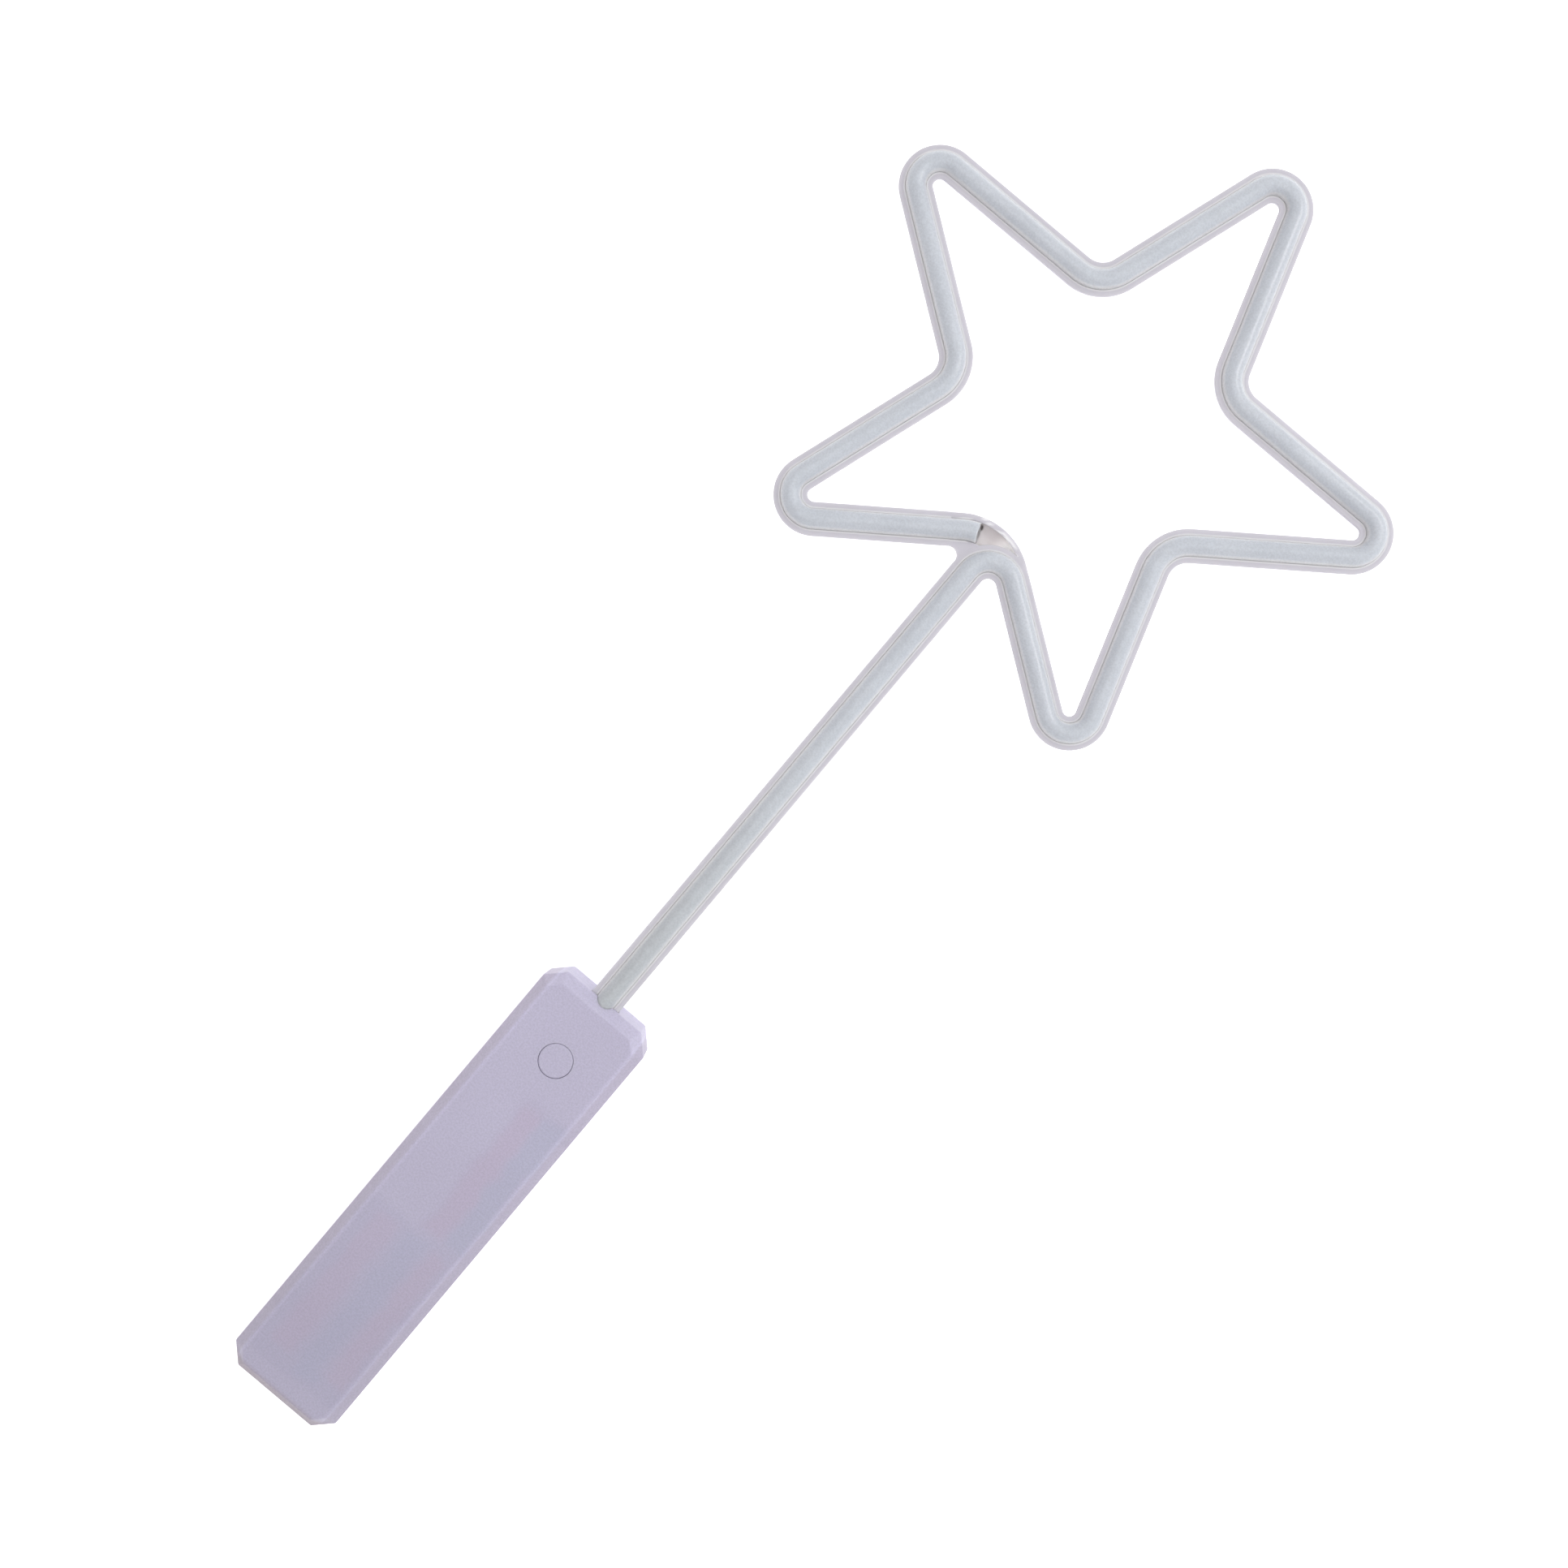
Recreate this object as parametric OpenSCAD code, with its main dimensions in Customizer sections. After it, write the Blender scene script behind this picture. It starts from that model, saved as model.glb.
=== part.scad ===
// Light-up star wand: a bevelled battery handle, a channelled stem and star, and one tube of light.
// The wand lies on its back: X across, Y along the wand towards the star, Z out of the front face.
// The origin is under the middle of the whole wand, on the surface that it lies on. Sizes are in mm.

/* [Handle] */
// Length of the handle, from the butt to the end that the stem leaves
handle_length = 139.5; // [139:0.5:170]
// Width of the handle
handle_width = 35.4; // [35:0.2:44]
// Depth of the handle, from its back to its front face
handle_depth = 20; // [19.4:0.2:26]
// Cut across the four corners of the handle, seen from the front
corner_cut = 4.8; // [3:0.1:5.2]
// Width of the bevel round the front and back faces
bevel_width = 2.85; // [1.6:0.05:2.95]
// Depth of the bevel round the front and back faces
bevel_depth = 3.3; // [2.2:0.1:3.8]
// Wall of both shells
shell_wall = 1.8; // [1.5:0.1:2.1]
// Height of the locating lip inside the joint of the shells
lip_height = 1.2; // [0.8:0.1:2]
// Thickness of the locating lip
lip_thickness = 0.9; // [0.7:0.1:1]

/* [Star and stem] */
// From the top end of the handle to the centre of the star
stem_reach = 205; // [190:0.1:260]
// Radius of the star's points, before they are rounded
star_point_r = 98.6; // [92:0.2:112]
// Radius of the star's notches, before they are rounded
star_notch_r = 37.7; // [36:0.1:42]
// Bend of the tube at the points
tip_bend_r = 6.6; // [6.2:0.1:8]
// Bend of the tube at the notches
notch_bend_r = 10.5; // [8:0.5:14]
// Bend of the channel at the notch that the stem joins
join_bend_r = 14.5; // [13:0.5:16]
// Bend of the tube where the stem turns into the star
turn_bend_r = 7; // [6.4:0.1:7.4]
// Fillet in the corner between the stem and the star
corner_fillet_r = 2.6; // [1.6:0.1:3]
// Width of the channel's flange
flange_width = 9.3; // [9.2:0.1:10.6]
// Thickness of the flange
flange_thickness = 1.2; // [0.8:0.1:1.6]
// Height of the flange's top above the axis of the tube
flange_rise = 0.3; // [0:0.1:0.6]
// Wall of the channel's round trough
trough_wall = 1.1; // [0.8:0.1:1.3]
// Length of the channel inside the handle
tail_length = 11.6; // [11:0.1:12]
// Width of the head that holds the tail in the handle
tail_head_width = 16; // [14:0.5:16]

/* [Tube of light] */
// Outside diameter of the tube
tube_diameter = 5.5; // [5:0.1:5.8]
// Bore of the tube
tube_bore = 3.2; // [2.9:0.1:3.6]
// Depth of the tube's axis below the handle's front face
tube_drop = 4.7; // [4.4:0.1:5.2]
// Turn of the tube's cut end along the joining bend, in degrees
tube_end_turn = 16; // [8:1:24]
// Width of the light strip, which stands on edge
strip_width = 2.2; // [1.6:0.1:2.3]
// Thickness of the light strip
strip_thickness = 0.5; // [0.3:0.1:0.6]
// Spacing of the lamps along the straight runs
lamp_pitch = 16; // [10:1:24]

/* [Button and board] */
// From the top end of the handle to the button's centre
button_setback = 20.1; // [19.6:0.1:20.6]
// Diameter of the button
button_diameter = 9.2; // [8:0.1:10.4]
// Travel of the button
button_travel = 0.6; // [0.3:0.1:0.7]
// Width of the rim that keeps the button in
button_rim = 1.2; // [0.8:0.1:1.6]
// Width of the circuit board
board_width = 25; // [24:0.5:27]
// Length of the circuit board
board_length = 15.8; // [15.4:0.1:16]
// Thickness of the circuit board
board_thickness = 1.6; // [1:0.1:1.8]
// Diameter of the leads
lead_diameter = 1.2; // [0.8:0.1:1.4]

/* [Batteries and door] */
// Diameter of a cell
cell_diameter = 10.5; // [10:0.1:10.7]
// Length of a cell, with its nub
cell_length = 44.5; // [43.5:0.1:44.9]
// Spacing of the two columns of cells
cell_pitch = 16.4; // [15.8:0.1:16.6]
// Length at each cell for its contacts and spring
contact_room = 3.8; // [3.4:0.1:4]
// Thickness of the sheet contacts
contact_thickness = 0.4; // [0.2:0.1:0.5]
// Wall of the battery tray
tray_wall = 1.2; // [0.9:0.1:1.2]
// Room between the butt and the cells, for the screws
butt_room = 10; // [9.8:0.1:10.4]
// Thickness of the battery door
door_thickness = 1.6; // [1.2:0.1:1.7]
// How far the door lies below the back face
door_recess = 0.2; // [0.1:0.05:0.3]
// Width of the ledge that the door sits on
door_ledge = 0.5; // [0.4:0.05:0.55]

/* [Fasteners] */
// Diameter of the shell screws' shanks
screw_diameter = 2.2; // [1.8:0.1:2.4]
// Diameter of the shell screws' heads
screw_head_diameter = 4.4; // [3.6:0.1:4.4]
// Diameter of the screw bosses
boss_diameter = 5.5; // [5:0.1:5.5]
// From the middle of the handle to the shell screws
screw_offset = 10.8; // [10:0.1:10.8]
// From each end of the handle to the shell screws
screw_setback = 5.9; // [5.8:0.1:6]

/* [Clearances] */
// Gap between pieces that fit together
fit_gap = 0.15; // [0.1:0.01:0.2]
// Gap round the tube in its groove
groove_gap = 0.15; // [0.05:0.01:0.2]
// Gap round the button
button_gap = 0.25; // [0.15:0.01:0.35]
// Gap round a cell
cell_gap = 0.3; // [0.1:0.05:0.3]
// Gap round the door
door_gap = 0.15; // [0.1:0.01:0.2]
// Running gap round the switch plunger
plunger_gap = 0.08; // [0.04:0.01:0.1]

/* [Hidden] */
$fn = 64;
far = 400;      // longer than any cut needs to be
slack = 1;      // how far a cut runs past a face
seam = 0.3;     // length of the thin collar where a run meets a bend
$swell = 0;     // how far a profile is grown, which is none but in a collar
collar_swell = 0.02;
overlap = 0.3;  // how far two lands of the channel run into each other
step = 0.05;    // keeps two faces from meeting at a tangent

// Star outline: half angle at a point and half angle between the edges at a notch
point_half = atan2(star_notch_r * sin(36), star_point_r - star_notch_r * cos(36));
notch_half = point_half + 36;
star_top = star_point_r - tip_bend_r / sin(point_half) + tip_bend_r + flange_width / 2;

// Places along the wand
wand_length = handle_length + stem_reach + star_top;
butt_y = -wand_length / 2;
end_y = butt_y + handle_length;
star_y = end_y + stem_reach;
handle_y = (butt_y + end_y) / 2;
tail_y = end_y - tail_length;
button_y = end_y - button_setback;

// Heights
split_z = handle_depth / 2;
front_inner_z = handle_depth - shell_wall;
tube_z = handle_depth - tube_drop;
flange_top_z = tube_z + flange_rise;
trough_r = tube_diameter / 2 + groove_gap + trough_wall;
groove_r = tube_diameter / 2 + groove_gap;

// Button stack, from the front face down to the board
rim_gap = 0.05;
rim_thickness = 1;
rim_z = front_inner_z - rim_gap - rim_thickness;
button_edge = 0.2;
button_stem_r = 2.2;
button_stem_length = 1.4;
button_foot_z = rim_z - button_stem_length;
plunger_r = 1.75;
plunger_length = 2.4;
plunger_room = 0.2;   // left under the plunger when the button is in
press_room = 0.25;    // left over the switch when the button is in
switch_top_z = button_foot_z - button_travel - press_room;
switch_side = 6;
switch_height = 3.7;
board_top_z = switch_top_z - switch_height;
board_z = board_top_z - board_thickness;
board_setback = 1;
board_y1 = tail_y - board_setback;
board_y0 = board_y1 - board_length;
board_screw_inset = 2.7;
board_screw_x = board_width / 2 - board_screw_inset;
board_screw_r = 0.9;
board_screw_bite = 5.5;
board_head_r = 1.9;
board_head_height = 1.2;
board_post_r = 2.4;
board_post_inset = 2.2;
tail_head_length = 2.6;
tail_head_height = 3.6;
tail_post_r = 1.6;
tail_post_inset = 2;
tail_post_x = tail_head_width / 2 - tail_post_inset;
skirt_wall = 1;
skirt_depth = 3;

// Small pieces on the board, as half sizes, heights and places from the button
chip_half = [2, 2.5];
chip_height = 1.4;
capacitor_r = 2;
capacitor_height = 3.2;
resistor_half = [0.4, 0.8];
resistor_height = 0.5;
resistor_row_y = -4.6;
resistor_inner_x = 3.8;
resistor_outer_x = board_width / 2 - 0.9;
side_resistor_x = board_width / 2 - 1.8;
side_resistor_y = 1.4;

// Level of the leads on the board, and of the contacts' tabs that they are soldered to
lead_r = lead_diameter / 2;
lead_z = board_top_z + lead_r;
tab_height = 1.2;
contact_top_z = lead_z + tab_height / 2;

// Battery tray
door_inner_z = door_recess + door_thickness;
cell_x = cell_pitch / 2;
cell_z = door_inner_z + cell_gap + cell_diameter / 2;
contact_gap = 0.5;
// The tray's floor clears the cells and the contacts that stand up to the board's level
tray_floor_z = max(cell_z + cell_diameter / 2 + cell_gap, contact_top_z + contact_gap);
tray_top_z = tray_floor_z + tray_wall;
bay_x = cell_x + cell_diameter / 2 + cell_gap;
rib_outer_x = cell_x - cell_diameter / 2 - cell_gap;
half_bay = cell_length + contact_room;
bay_y0 = butt_y + butt_room;
mid_y0 = bay_y0 + half_bay;
mid_y1 = mid_y0 + tray_wall;
bay_y1 = mid_y1 + half_bay;
rib_end_gap = 1;
shelf_gap = 0.4;
shelf_z = door_inner_z + shelf_gap;

// Cells: where each body starts, and which way its nub points
nub_r = 1.9;
nub_length = 0.8;
lower_right_y = mid_y0 - contact_thickness - cell_length;
upper_right_y = bay_y1 - contact_thickness - cell_length;
lower_left_y = bay_y0 + contact_thickness;

// Contacts and leads
contact_width = 8;
contact_drop = 4;
contact_z = cell_z - contact_drop;
tab_width = 2;
tab_reach = 0.9;
lead_bend_r = 1.5;
lead_straight = 1.4;
lead_jog = 2.4;
lead_end_y = board_y0 + 6;
positive_jog = 2;
negative_jog = 1;

// Springs on the negative ends
spring_room = contact_room - 2 * contact_thickness;
spring_wire_r = 0.25;
spring_base_r = 3.4;
spring_tip_r = 2.2;
spring_turns = 2.5;
spring_sides = 6;
spring_steps = 30;

// Battery door
door_x = bay_x + door_ledge;
door_y0 = bay_y0 - door_ledge;
door_y1 = bay_y1 + door_ledge;
door_tab_x = 5;
door_tab_inset = 0.6;
door_tab_y = butt_y + bevel_width + door_tab_inset;
door_screw_setback = 6.3;
door_screw_y = butt_y + door_screw_setback;
door_screw_r = 1;
door_screw_head_r = 2;
door_screw_head = 0.8;
door_screw_length = 4.4;
door_screw_gap = 0.4;
lug_width = 3;
lug_x = cell_x - contact_width / 2 - 3 * fit_gap - lug_width / 2;
lug_reach = 2;
lug_thickness = 1.2;
lug_root = 2.4;
lug_swing = 1.3;
lug_back = 0.7;       // how far a lug's root swings back as the door opens
lug_sink = 0.5;
seat_pad = 1.2;

// Shell screws
screw_seat_z = 2.6;
screw_head_height = 1.5;
screw_bite = 4;
screw_tip_z = split_z + screw_bite;
hole_end = 0.5;       // how far a blind hole runs past a screw's tip
slot_reach = 0.6;     // reach and half width of a head's cross, as shares of its radius
slot_half = 0.13;
screw_gap = 0.05;
head_gap = 0.2;
boss_r = boss_diameter / 2;
screw_r = screw_diameter / 2;

// Inside of the tube
strip_drop = 0.28;
strip_tail = 6;
strip_start_y = end_y - strip_tail;
tube_setback = 1.5;
tube_start_y = tail_y + tube_setback;
lamp_length = 1.6;
lamp_height = 1.2;
lamp_thickness = 0.6;
tube_stub = 0.6;
led_lead_r = 0.45;
led_lead_x = 0.7;
led_lead_bend = 1.2;
led_pad_inset = 1.4;
led_pad_length = 1.8;
led_lead_level = 0.8;

// Paths: a list of corners with a bend radius at each, swept by straight runs and arcs
function unit(v) = v / norm(v);
function heading(p, i) = let (d = p[i + 1] - p[i]) atan2(d.y, d.x);
function wrap(a) = a > 180 ? a - 360 : a < -180 ? a + 360 : a;
function turn_at(p, i) = wrap(heading(p, i) - heading(p, i - 1));
function is_inner(p, i) = i > 0 && i < len(p) - 1;
function tangent(p, r, i) = is_inner(p, i) ? r[i] * tan(abs(turn_at(p, i)) / 2) : 0;
function run_start(p, r, i) = p[i] + unit(p[i + 1] - p[i]) * tangent(p, r, i);
function run_length(p, r, i) = norm(p[i + 1] - p[i]) - tangent(p, r, i) - tangent(p, r, i + 1);

module place_run(p, r, i) {
    s = run_start(p, r, i);
    translate([s.x, s.y, 0])
        rotate([90, 0, heading(p, i) + 90])
            children();
}

module bend(start, direction, radius, turn) {
    side = sign(turn);
    centre = start + side * radius * [-sin(direction), cos(direction)];
    first = side > 0 ? direction - 90 : direction + 90 - abs(turn);
    translate([centre.x, centre.y, 0])
        rotate([0, 0, first])
            rotate_extrude(angle = abs(turn))
                translate([radius, 0])
                    children();
}

module collar() {
    $swell = collar_swell;
    translate([0, 0, -seam / 2])
        linear_extrude(seam)
            children();
}

module sweep(p, r, end_collar = false) {
    last = len(p) - 2;
    for (i = [0 : last])
        place_run(p, r, i) {
            low = i == 0 ? 0 : seam / 6;
            high = run_length(p, r, i) - (i == last ? 0 : seam / 6);
            translate([0, 0, low])
                linear_extrude(high - low)
                    children();
            if (i > 0)
                collar()
                    children();
            if (i < last || end_collar)
                translate([0, 0, run_length(p, r, i)])
                    collar()
                        children();
        }
    for (i = [1 : last]) {
        d = unit(p[i] - p[i - 1]);
        bend(p[i] - d * tangent(p, r, i), heading(p, i - 1), r[i], turn_at(p, i))
            children();
    }
}

// Star corners: odd steps are points and even steps are notches, anticlockwise from the joining notch
function star_corner(k) =
    let (a = -90 + 36 * k, radius = k % 2 == 0 ? star_notch_r : star_point_r)
    [radius * cos(a), star_y + radius * sin(a)];
function star_bend(k) = k % 2 == 0 ? notch_bend_r : tip_bend_r;

join_point = star_corner(0);
turn_tangent = turn_bend_r * tan((180 - notch_half) / 2);
join_tangent = join_bend_r * tan(90 - notch_half);
left_edge = unit(star_corner(9) - join_point);
right_edge = unit(star_corner(1) - join_point);
join_left = join_point + left_edge * turn_tangent;
join_right = join_point + right_edge * turn_tangent;
tube_bend_start = join_point + left_edge * join_tangent;
turn_centre = join_point + [turn_bend_r, -turn_tangent];

star_points = [for (k = [1 : 9]) star_corner(k)];
star_bends = [for (k = [1 : 9]) star_bend(k)];
function light_path(first, last) = concat([first, join_point], star_points, [last]);
light_bends = concat([0, turn_bend_r], star_bends, [0]);

// The tube's cut end follows the joining bend for a short way
end_heading = atan2(-left_edge.y, -left_edge.x);
end_tangent = join_bend_r * tan(tube_end_turn / 2);
end_corner = tube_bend_start - left_edge * end_tangent;
tube_end = end_corner + (end_tangent + tube_stub) *
    [cos(end_heading - tube_end_turn), sin(end_heading - tube_end_turn)];
tube_path = concat([[0, tube_start_y], join_point], star_points, [end_corner, tube_end]);
tube_bends = concat([0, turn_bend_r], star_bends, [join_bend_r, 0]);

// Profiles across the channel and the tube: x across, y up
module channel_blank() {
    half = flange_width / 2 + $swell;
    radius = trough_r + $swell;
    translate([-half, flange_top_z - flange_thickness - $swell])
        square([2 * half, flange_thickness + 2 * $swell]);
    intersection() {
        translate([0, tube_z])
            circle(radius);
        translate([-radius, flange_top_z + $swell - 2 * radius])
            square(2 * radius);
    }
}

module channel_groove() {
    radius = groove_r - $swell;
    translate([0, tube_z])
        circle(radius);
    translate([-radius, tube_z])
        square([2 * radius, flange_rise + slack]);
}

module channel_profile() {
    difference() {
        channel_blank();
        channel_groove();
    }
}

module groove_room() {
    $swell = $swell - trough_wall / 2;
    channel_groove();
}

module join_profile() {
    $swell = $swell - step;
    difference() {
        channel_blank();
        channel_groove();
    }
}

module tube_profile() {
    translate([0, tube_z])
        difference() {
            circle(tube_diameter / 2 + $swell);
            circle(tube_bore / 2 - $swell);
        }
}

module strip_profile() {
    width = strip_width + 2 * $swell;
    thickness = strip_thickness + 2 * $swell;
    translate([-thickness / 2, tube_z - strip_drop - width / 2])
        square([thickness, width]);
}

// A block with cut corners and bevelled edges, set in by a wall on every side
module bevelled_profile(width, depth, across, down) {
    polygon([
        [-width / 2 + across, 0], [width / 2 - across, 0], [width / 2, down],
        [width / 2, depth - down], [width / 2 - across, depth], [-width / 2 + across, depth],
        [-width / 2, depth - down], [-width / 2, down]
    ]);
}

module handle_block(inset) {
    shrink = 1 + inset * (norm([1 / bevel_width, 1 / bevel_depth]) - 1 / bevel_width - 1 / bevel_depth);
    across = bevel_width * shrink;
    down = bevel_depth * shrink;
    width = handle_width - 2 * inset;
    length = handle_length - 2 * inset;
    depth = handle_depth - 2 * inset;
    cut = corner_cut - inset * (2 - sqrt(2));
    diagonal = (width + length - 2 * cut) / sqrt(2);
    translate([0, handle_y, inset])
        intersection_for(w = [[0, width], [90, length], [45, diagonal], [-45, diagonal]])
            rotate([90, 0, w[0]])
                linear_extrude(far, center = true)
                    bevelled_profile(w[1], depth, across, down);
}

module slab(low, high) {
    translate([-far / 2, -far, low])
        cube([far, 2 * far, high - low]);
}

module box(low, high) {
    translate(low)
        cube(high - low);
}

module post(x, y, radius, low, high) {
    translate([x, y, low])
        cylinder(r = radius, h = high - low);
}

module at_shell_screws() {
    for (x = [-screw_offset, screw_offset], y = [butt_y + screw_setback, end_y - screw_setback])
        translate([x, y, 0])
            children();
}

module at_board_screws() {
    for (x = [-board_screw_x, board_screw_x])
        translate([x, board_y1 - board_post_inset, 0])
            children();
}

// Room that the channel and the tube need through the end wall of the handle
module stem_slot(gap) {
    slot_y = end_y - shell_wall - bevel_width;
    box([-trough_r - gap, slot_y, split_z - slack], [trough_r + gap, end_y + slack, flange_top_z]);
    box([-flange_width / 2 - gap, slot_y, flange_top_z - flange_thickness - gap],
        [flange_width / 2 + gap, end_y + slack, flange_top_z + gap]);
    translate([0, slot_y, tube_z])
        rotate([-90, 0, 0])
            cylinder(r = tube_diameter / 2 + gap, h = end_y + slack - slot_y);
}

module front_shell() {
    color([0.73, 0.7, 0.79])
    difference() {
        union() {
            difference() {
                handle_block(0);
                handle_block(shell_wall);
                slab(-slack, split_z);
            }
            intersection() {
                handle_block(shell_wall / 2);
                union() {
                    at_shell_screws()
                        post(0, 0, boss_r, split_z, handle_depth);
                    post(0, button_y, button_diameter / 2 + button_rim + button_gap + skirt_wall,
                         front_inner_z - skirt_depth, handle_depth);
                    for (x = [-tail_post_x, tail_post_x])
                        post(x, tail_y + tail_head_length / 2, tail_post_r, flange_top_z, handle_depth);
                }
            }
        }
        post(0, button_y, button_diameter / 2 + button_gap, split_z, handle_depth + slack);
        post(0, button_y, button_diameter / 2 + button_rim + button_gap, split_z, front_inner_z);
        at_shell_screws()
            post(0, 0, screw_r + screw_gap, split_z - slack, screw_tip_z + hole_end);
        stem_slot(fit_gap);
    }
}

module tray() {
    difference() {
        box([-bay_x - tray_wall, bay_y0 - tray_wall, door_inner_z],
            [bay_x + tray_wall, bay_y1 + tray_wall, tray_top_z]);
        box([-bay_x, bay_y0, -slack], [bay_x, bay_y1, tray_floor_z]);
    }
    box([-bay_x, mid_y0, shelf_z], [bay_x, mid_y1, tray_floor_z]);
    box([-bay_x, mid_y1, shelf_z], [-rib_outer_x, bay_y1, shelf_z + tray_wall]);
    for (x = [-rib_outer_x, rib_outer_x - tray_wall], y = [bay_y0, mid_y1])
        box([x, y + rib_end_gap, shelf_z], [x + tray_wall, y + half_bay - rib_end_gap, tray_floor_z]);
}

module tray_cuts() {
    // slots for the contact tabs, the strap between the cells and the negative lead
    slot_z = [lead_z - tab_height / 2 - fit_gap, lead_z + tab_height / 2 + fit_gap];
    box([cell_x - tab_width / 2 - fit_gap, bay_y1 - fit_gap, slot_z[0]],
        [cell_x + tab_width / 2 + fit_gap, bay_y1 + tray_wall + slack, slot_z[1]]);
    box([-cell_x - tab_width / 2 - fit_gap, mid_y0 - fit_gap, slot_z[0]],
        [-cell_x + tab_width / 2 + fit_gap, mid_y1 + fit_gap, slot_z[1]]);
    box([cell_x - contact_width / 2 - fit_gap, mid_y0 - fit_gap, slot_z[0]],
        [cell_x + contact_width / 2 + fit_gap, mid_y1 + fit_gap, slot_z[1]]);
    translate([-cell_x, bay_y1 - slack, lead_z])
        rotate([-90, 0, 0])
            cylinder(r = lead_r + fit_gap, h = tray_wall + 2 * slack);
    // windows that the door's lugs swing in
    for (x = [-lug_x, lug_x])
        box([x - lug_width / 2 - 2 * fit_gap, bay_y1 - lug_root - lug_back, door_inner_z - slack],
            [x + lug_width / 2 + 2 * fit_gap, door_y1 + lug_reach + 2 * fit_gap,
             door_inner_z + fit_gap + lug_thickness + lug_swing]);
}

module lip() {
    difference() {
        intersection() {
            handle_block(shell_wall + fit_gap);
            slab(split_z - lip_height, split_z + lip_height);
        }
        handle_block(shell_wall + fit_gap + lip_thickness);
    }
    // web that ties the lip to the wall below the joint
    difference() {
        intersection() {
            handle_block(shell_wall / 2);
            slab(split_z - lip_height, split_z - fit_gap);
        }
        handle_block(shell_wall + fit_gap + lip_thickness);
    }
}

module stem_tongue() {
    difference() {
        box([-trough_r, end_y - shell_wall, split_z - slack],
            [trough_r, end_y, flange_top_z - flange_thickness - fit_gap]);
        translate([0, end_y - shell_wall - slack, tube_z])
            rotate([-90, 0, 0])
                cylinder(r = trough_r + fit_gap, h = shell_wall + 2 * slack);
    }
}

module back_shell() {
    color([0.72, 0.69, 0.78])
    difference() {
        union() {
            difference() {
                handle_block(0);
                handle_block(shell_wall);
                slab(split_z, handle_depth + slack);
            }
            difference() {
                lip();
                box([-trough_r - 2 * fit_gap, end_y - 3 * shell_wall, split_z],
                    [trough_r + 2 * fit_gap, end_y, handle_depth]);
            }
            stem_tongue();
            difference() {
                tray();
                tray_cuts();
            }
            intersection() {
                handle_block(shell_wall / 2);
                union() {
                    at_shell_screws()
                        post(0, 0, boss_r, 0, split_z);
                    for (x = [-board_screw_x, board_screw_x],
                         y = [board_y0 + board_post_inset, board_y1 - board_post_inset])
                        post(x, y, board_post_r, 0, board_z);
                    for (x = [-tail_post_x, tail_post_x])
                        post(x, tail_y + tail_head_length / 2, tail_post_r, 0,
                             flange_top_z - tail_head_height);
                    box([-door_tab_x - seat_pad, butt_y, shell_wall / 2],
                        [door_tab_x + seat_pad, bay_y0, door_inner_z + seat_pad]);
                    post(0, door_screw_y, boss_r, shell_wall / 2, door_inner_z + door_screw_length + seat_pad);
                }
            }
        }
        // recess for the door and the opening under it
        box([-door_x, door_y0, -slack], [door_x, door_y1, door_inner_z]);
        box([-door_tab_x - door_gap, door_tab_y - door_gap, -slack],
            [door_tab_x + door_gap, bay_y0, door_inner_z]);
        box([-bay_x, bay_y0, -slack], [bay_x, bay_y1, shelf_z]);
        for (x = [-lug_x, lug_x])
            box([x - lug_width / 2 - 2 * fit_gap, bay_y1 - lug_root - lug_back, door_inner_z],
                [x + lug_width / 2 + 2 * fit_gap, door_y1 + lug_reach + 2 * fit_gap,
                 door_inner_z + fit_gap + lug_thickness + lug_swing]);
        post(0, door_screw_y, door_screw_r + door_screw_gap, 0,
             door_inner_z + door_screw_length + hole_end);
        at_shell_screws() {
            post(0, 0, screw_head_diameter / 2 + head_gap, -slack, screw_seat_z);
            post(0, 0, screw_r + fit_gap, 0, split_z + slack);
        }
        at_board_screws()
            post(0, 0, board_screw_r + screw_gap, board_z - board_screw_bite - hole_end, board_z + slack);
    }
}

module battery_door() {
    color([0.72, 0.69, 0.78])
    difference() {
        union() {
            box([-door_x + door_gap, door_y0 + door_gap, door_recess],
                [door_x - door_gap, door_y1 - door_gap, door_inner_z]);
            box([-door_tab_x, door_tab_y, door_recess], [door_tab_x, bay_y0, door_inner_z]);
            for (x = [-lug_x, lug_x]) {
                box([x - lug_width / 2, bay_y1 - lug_root + fit_gap, door_inner_z - lug_sink],
                    [x + lug_width / 2, door_y1 - door_gap, door_inner_z + fit_gap + lug_thickness]);
                box([x - lug_width / 2, bay_y1, shell_wall + fit_gap],
                    [x + lug_width / 2, door_y1 + lug_reach, door_inner_z + fit_gap + lug_thickness]);
            }
        }
        post(0, door_screw_y, door_screw_head_r + screw_gap, 0, door_recess + door_screw_head + screw_gap);
        post(0, door_screw_y, door_screw_r + screw_gap, 0, handle_depth);
    }
}

module cross_head(radius, low, high) {
    reach = radius * slot_reach;
    half = radius * slot_half;
    difference() {
        post(0, 0, radius, low, high);
        for (a = [0, 90])
            rotate([0, 0, a])
                box([-reach, -half, low - slack], [reach, half, (low + high) / 2]);
    }
}

module door_screw() {
    color([0.75, 0.75, 0.76])
    translate([0, door_screw_y, 0]) {
        cross_head(door_screw_head_r, door_recess, door_recess + door_screw_head);
        post(0, 0, door_screw_r, door_recess + door_screw_head, door_inner_z + door_screw_length);
    }
}

module case_screws() {
    color([0.75, 0.75, 0.76])
    at_shell_screws() {
        cross_head(screw_head_diameter / 2, screw_seat_z - screw_head_height, screw_seat_z);
        post(0, 0, screw_r, screw_seat_z, screw_tip_z);
    }
}

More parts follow.
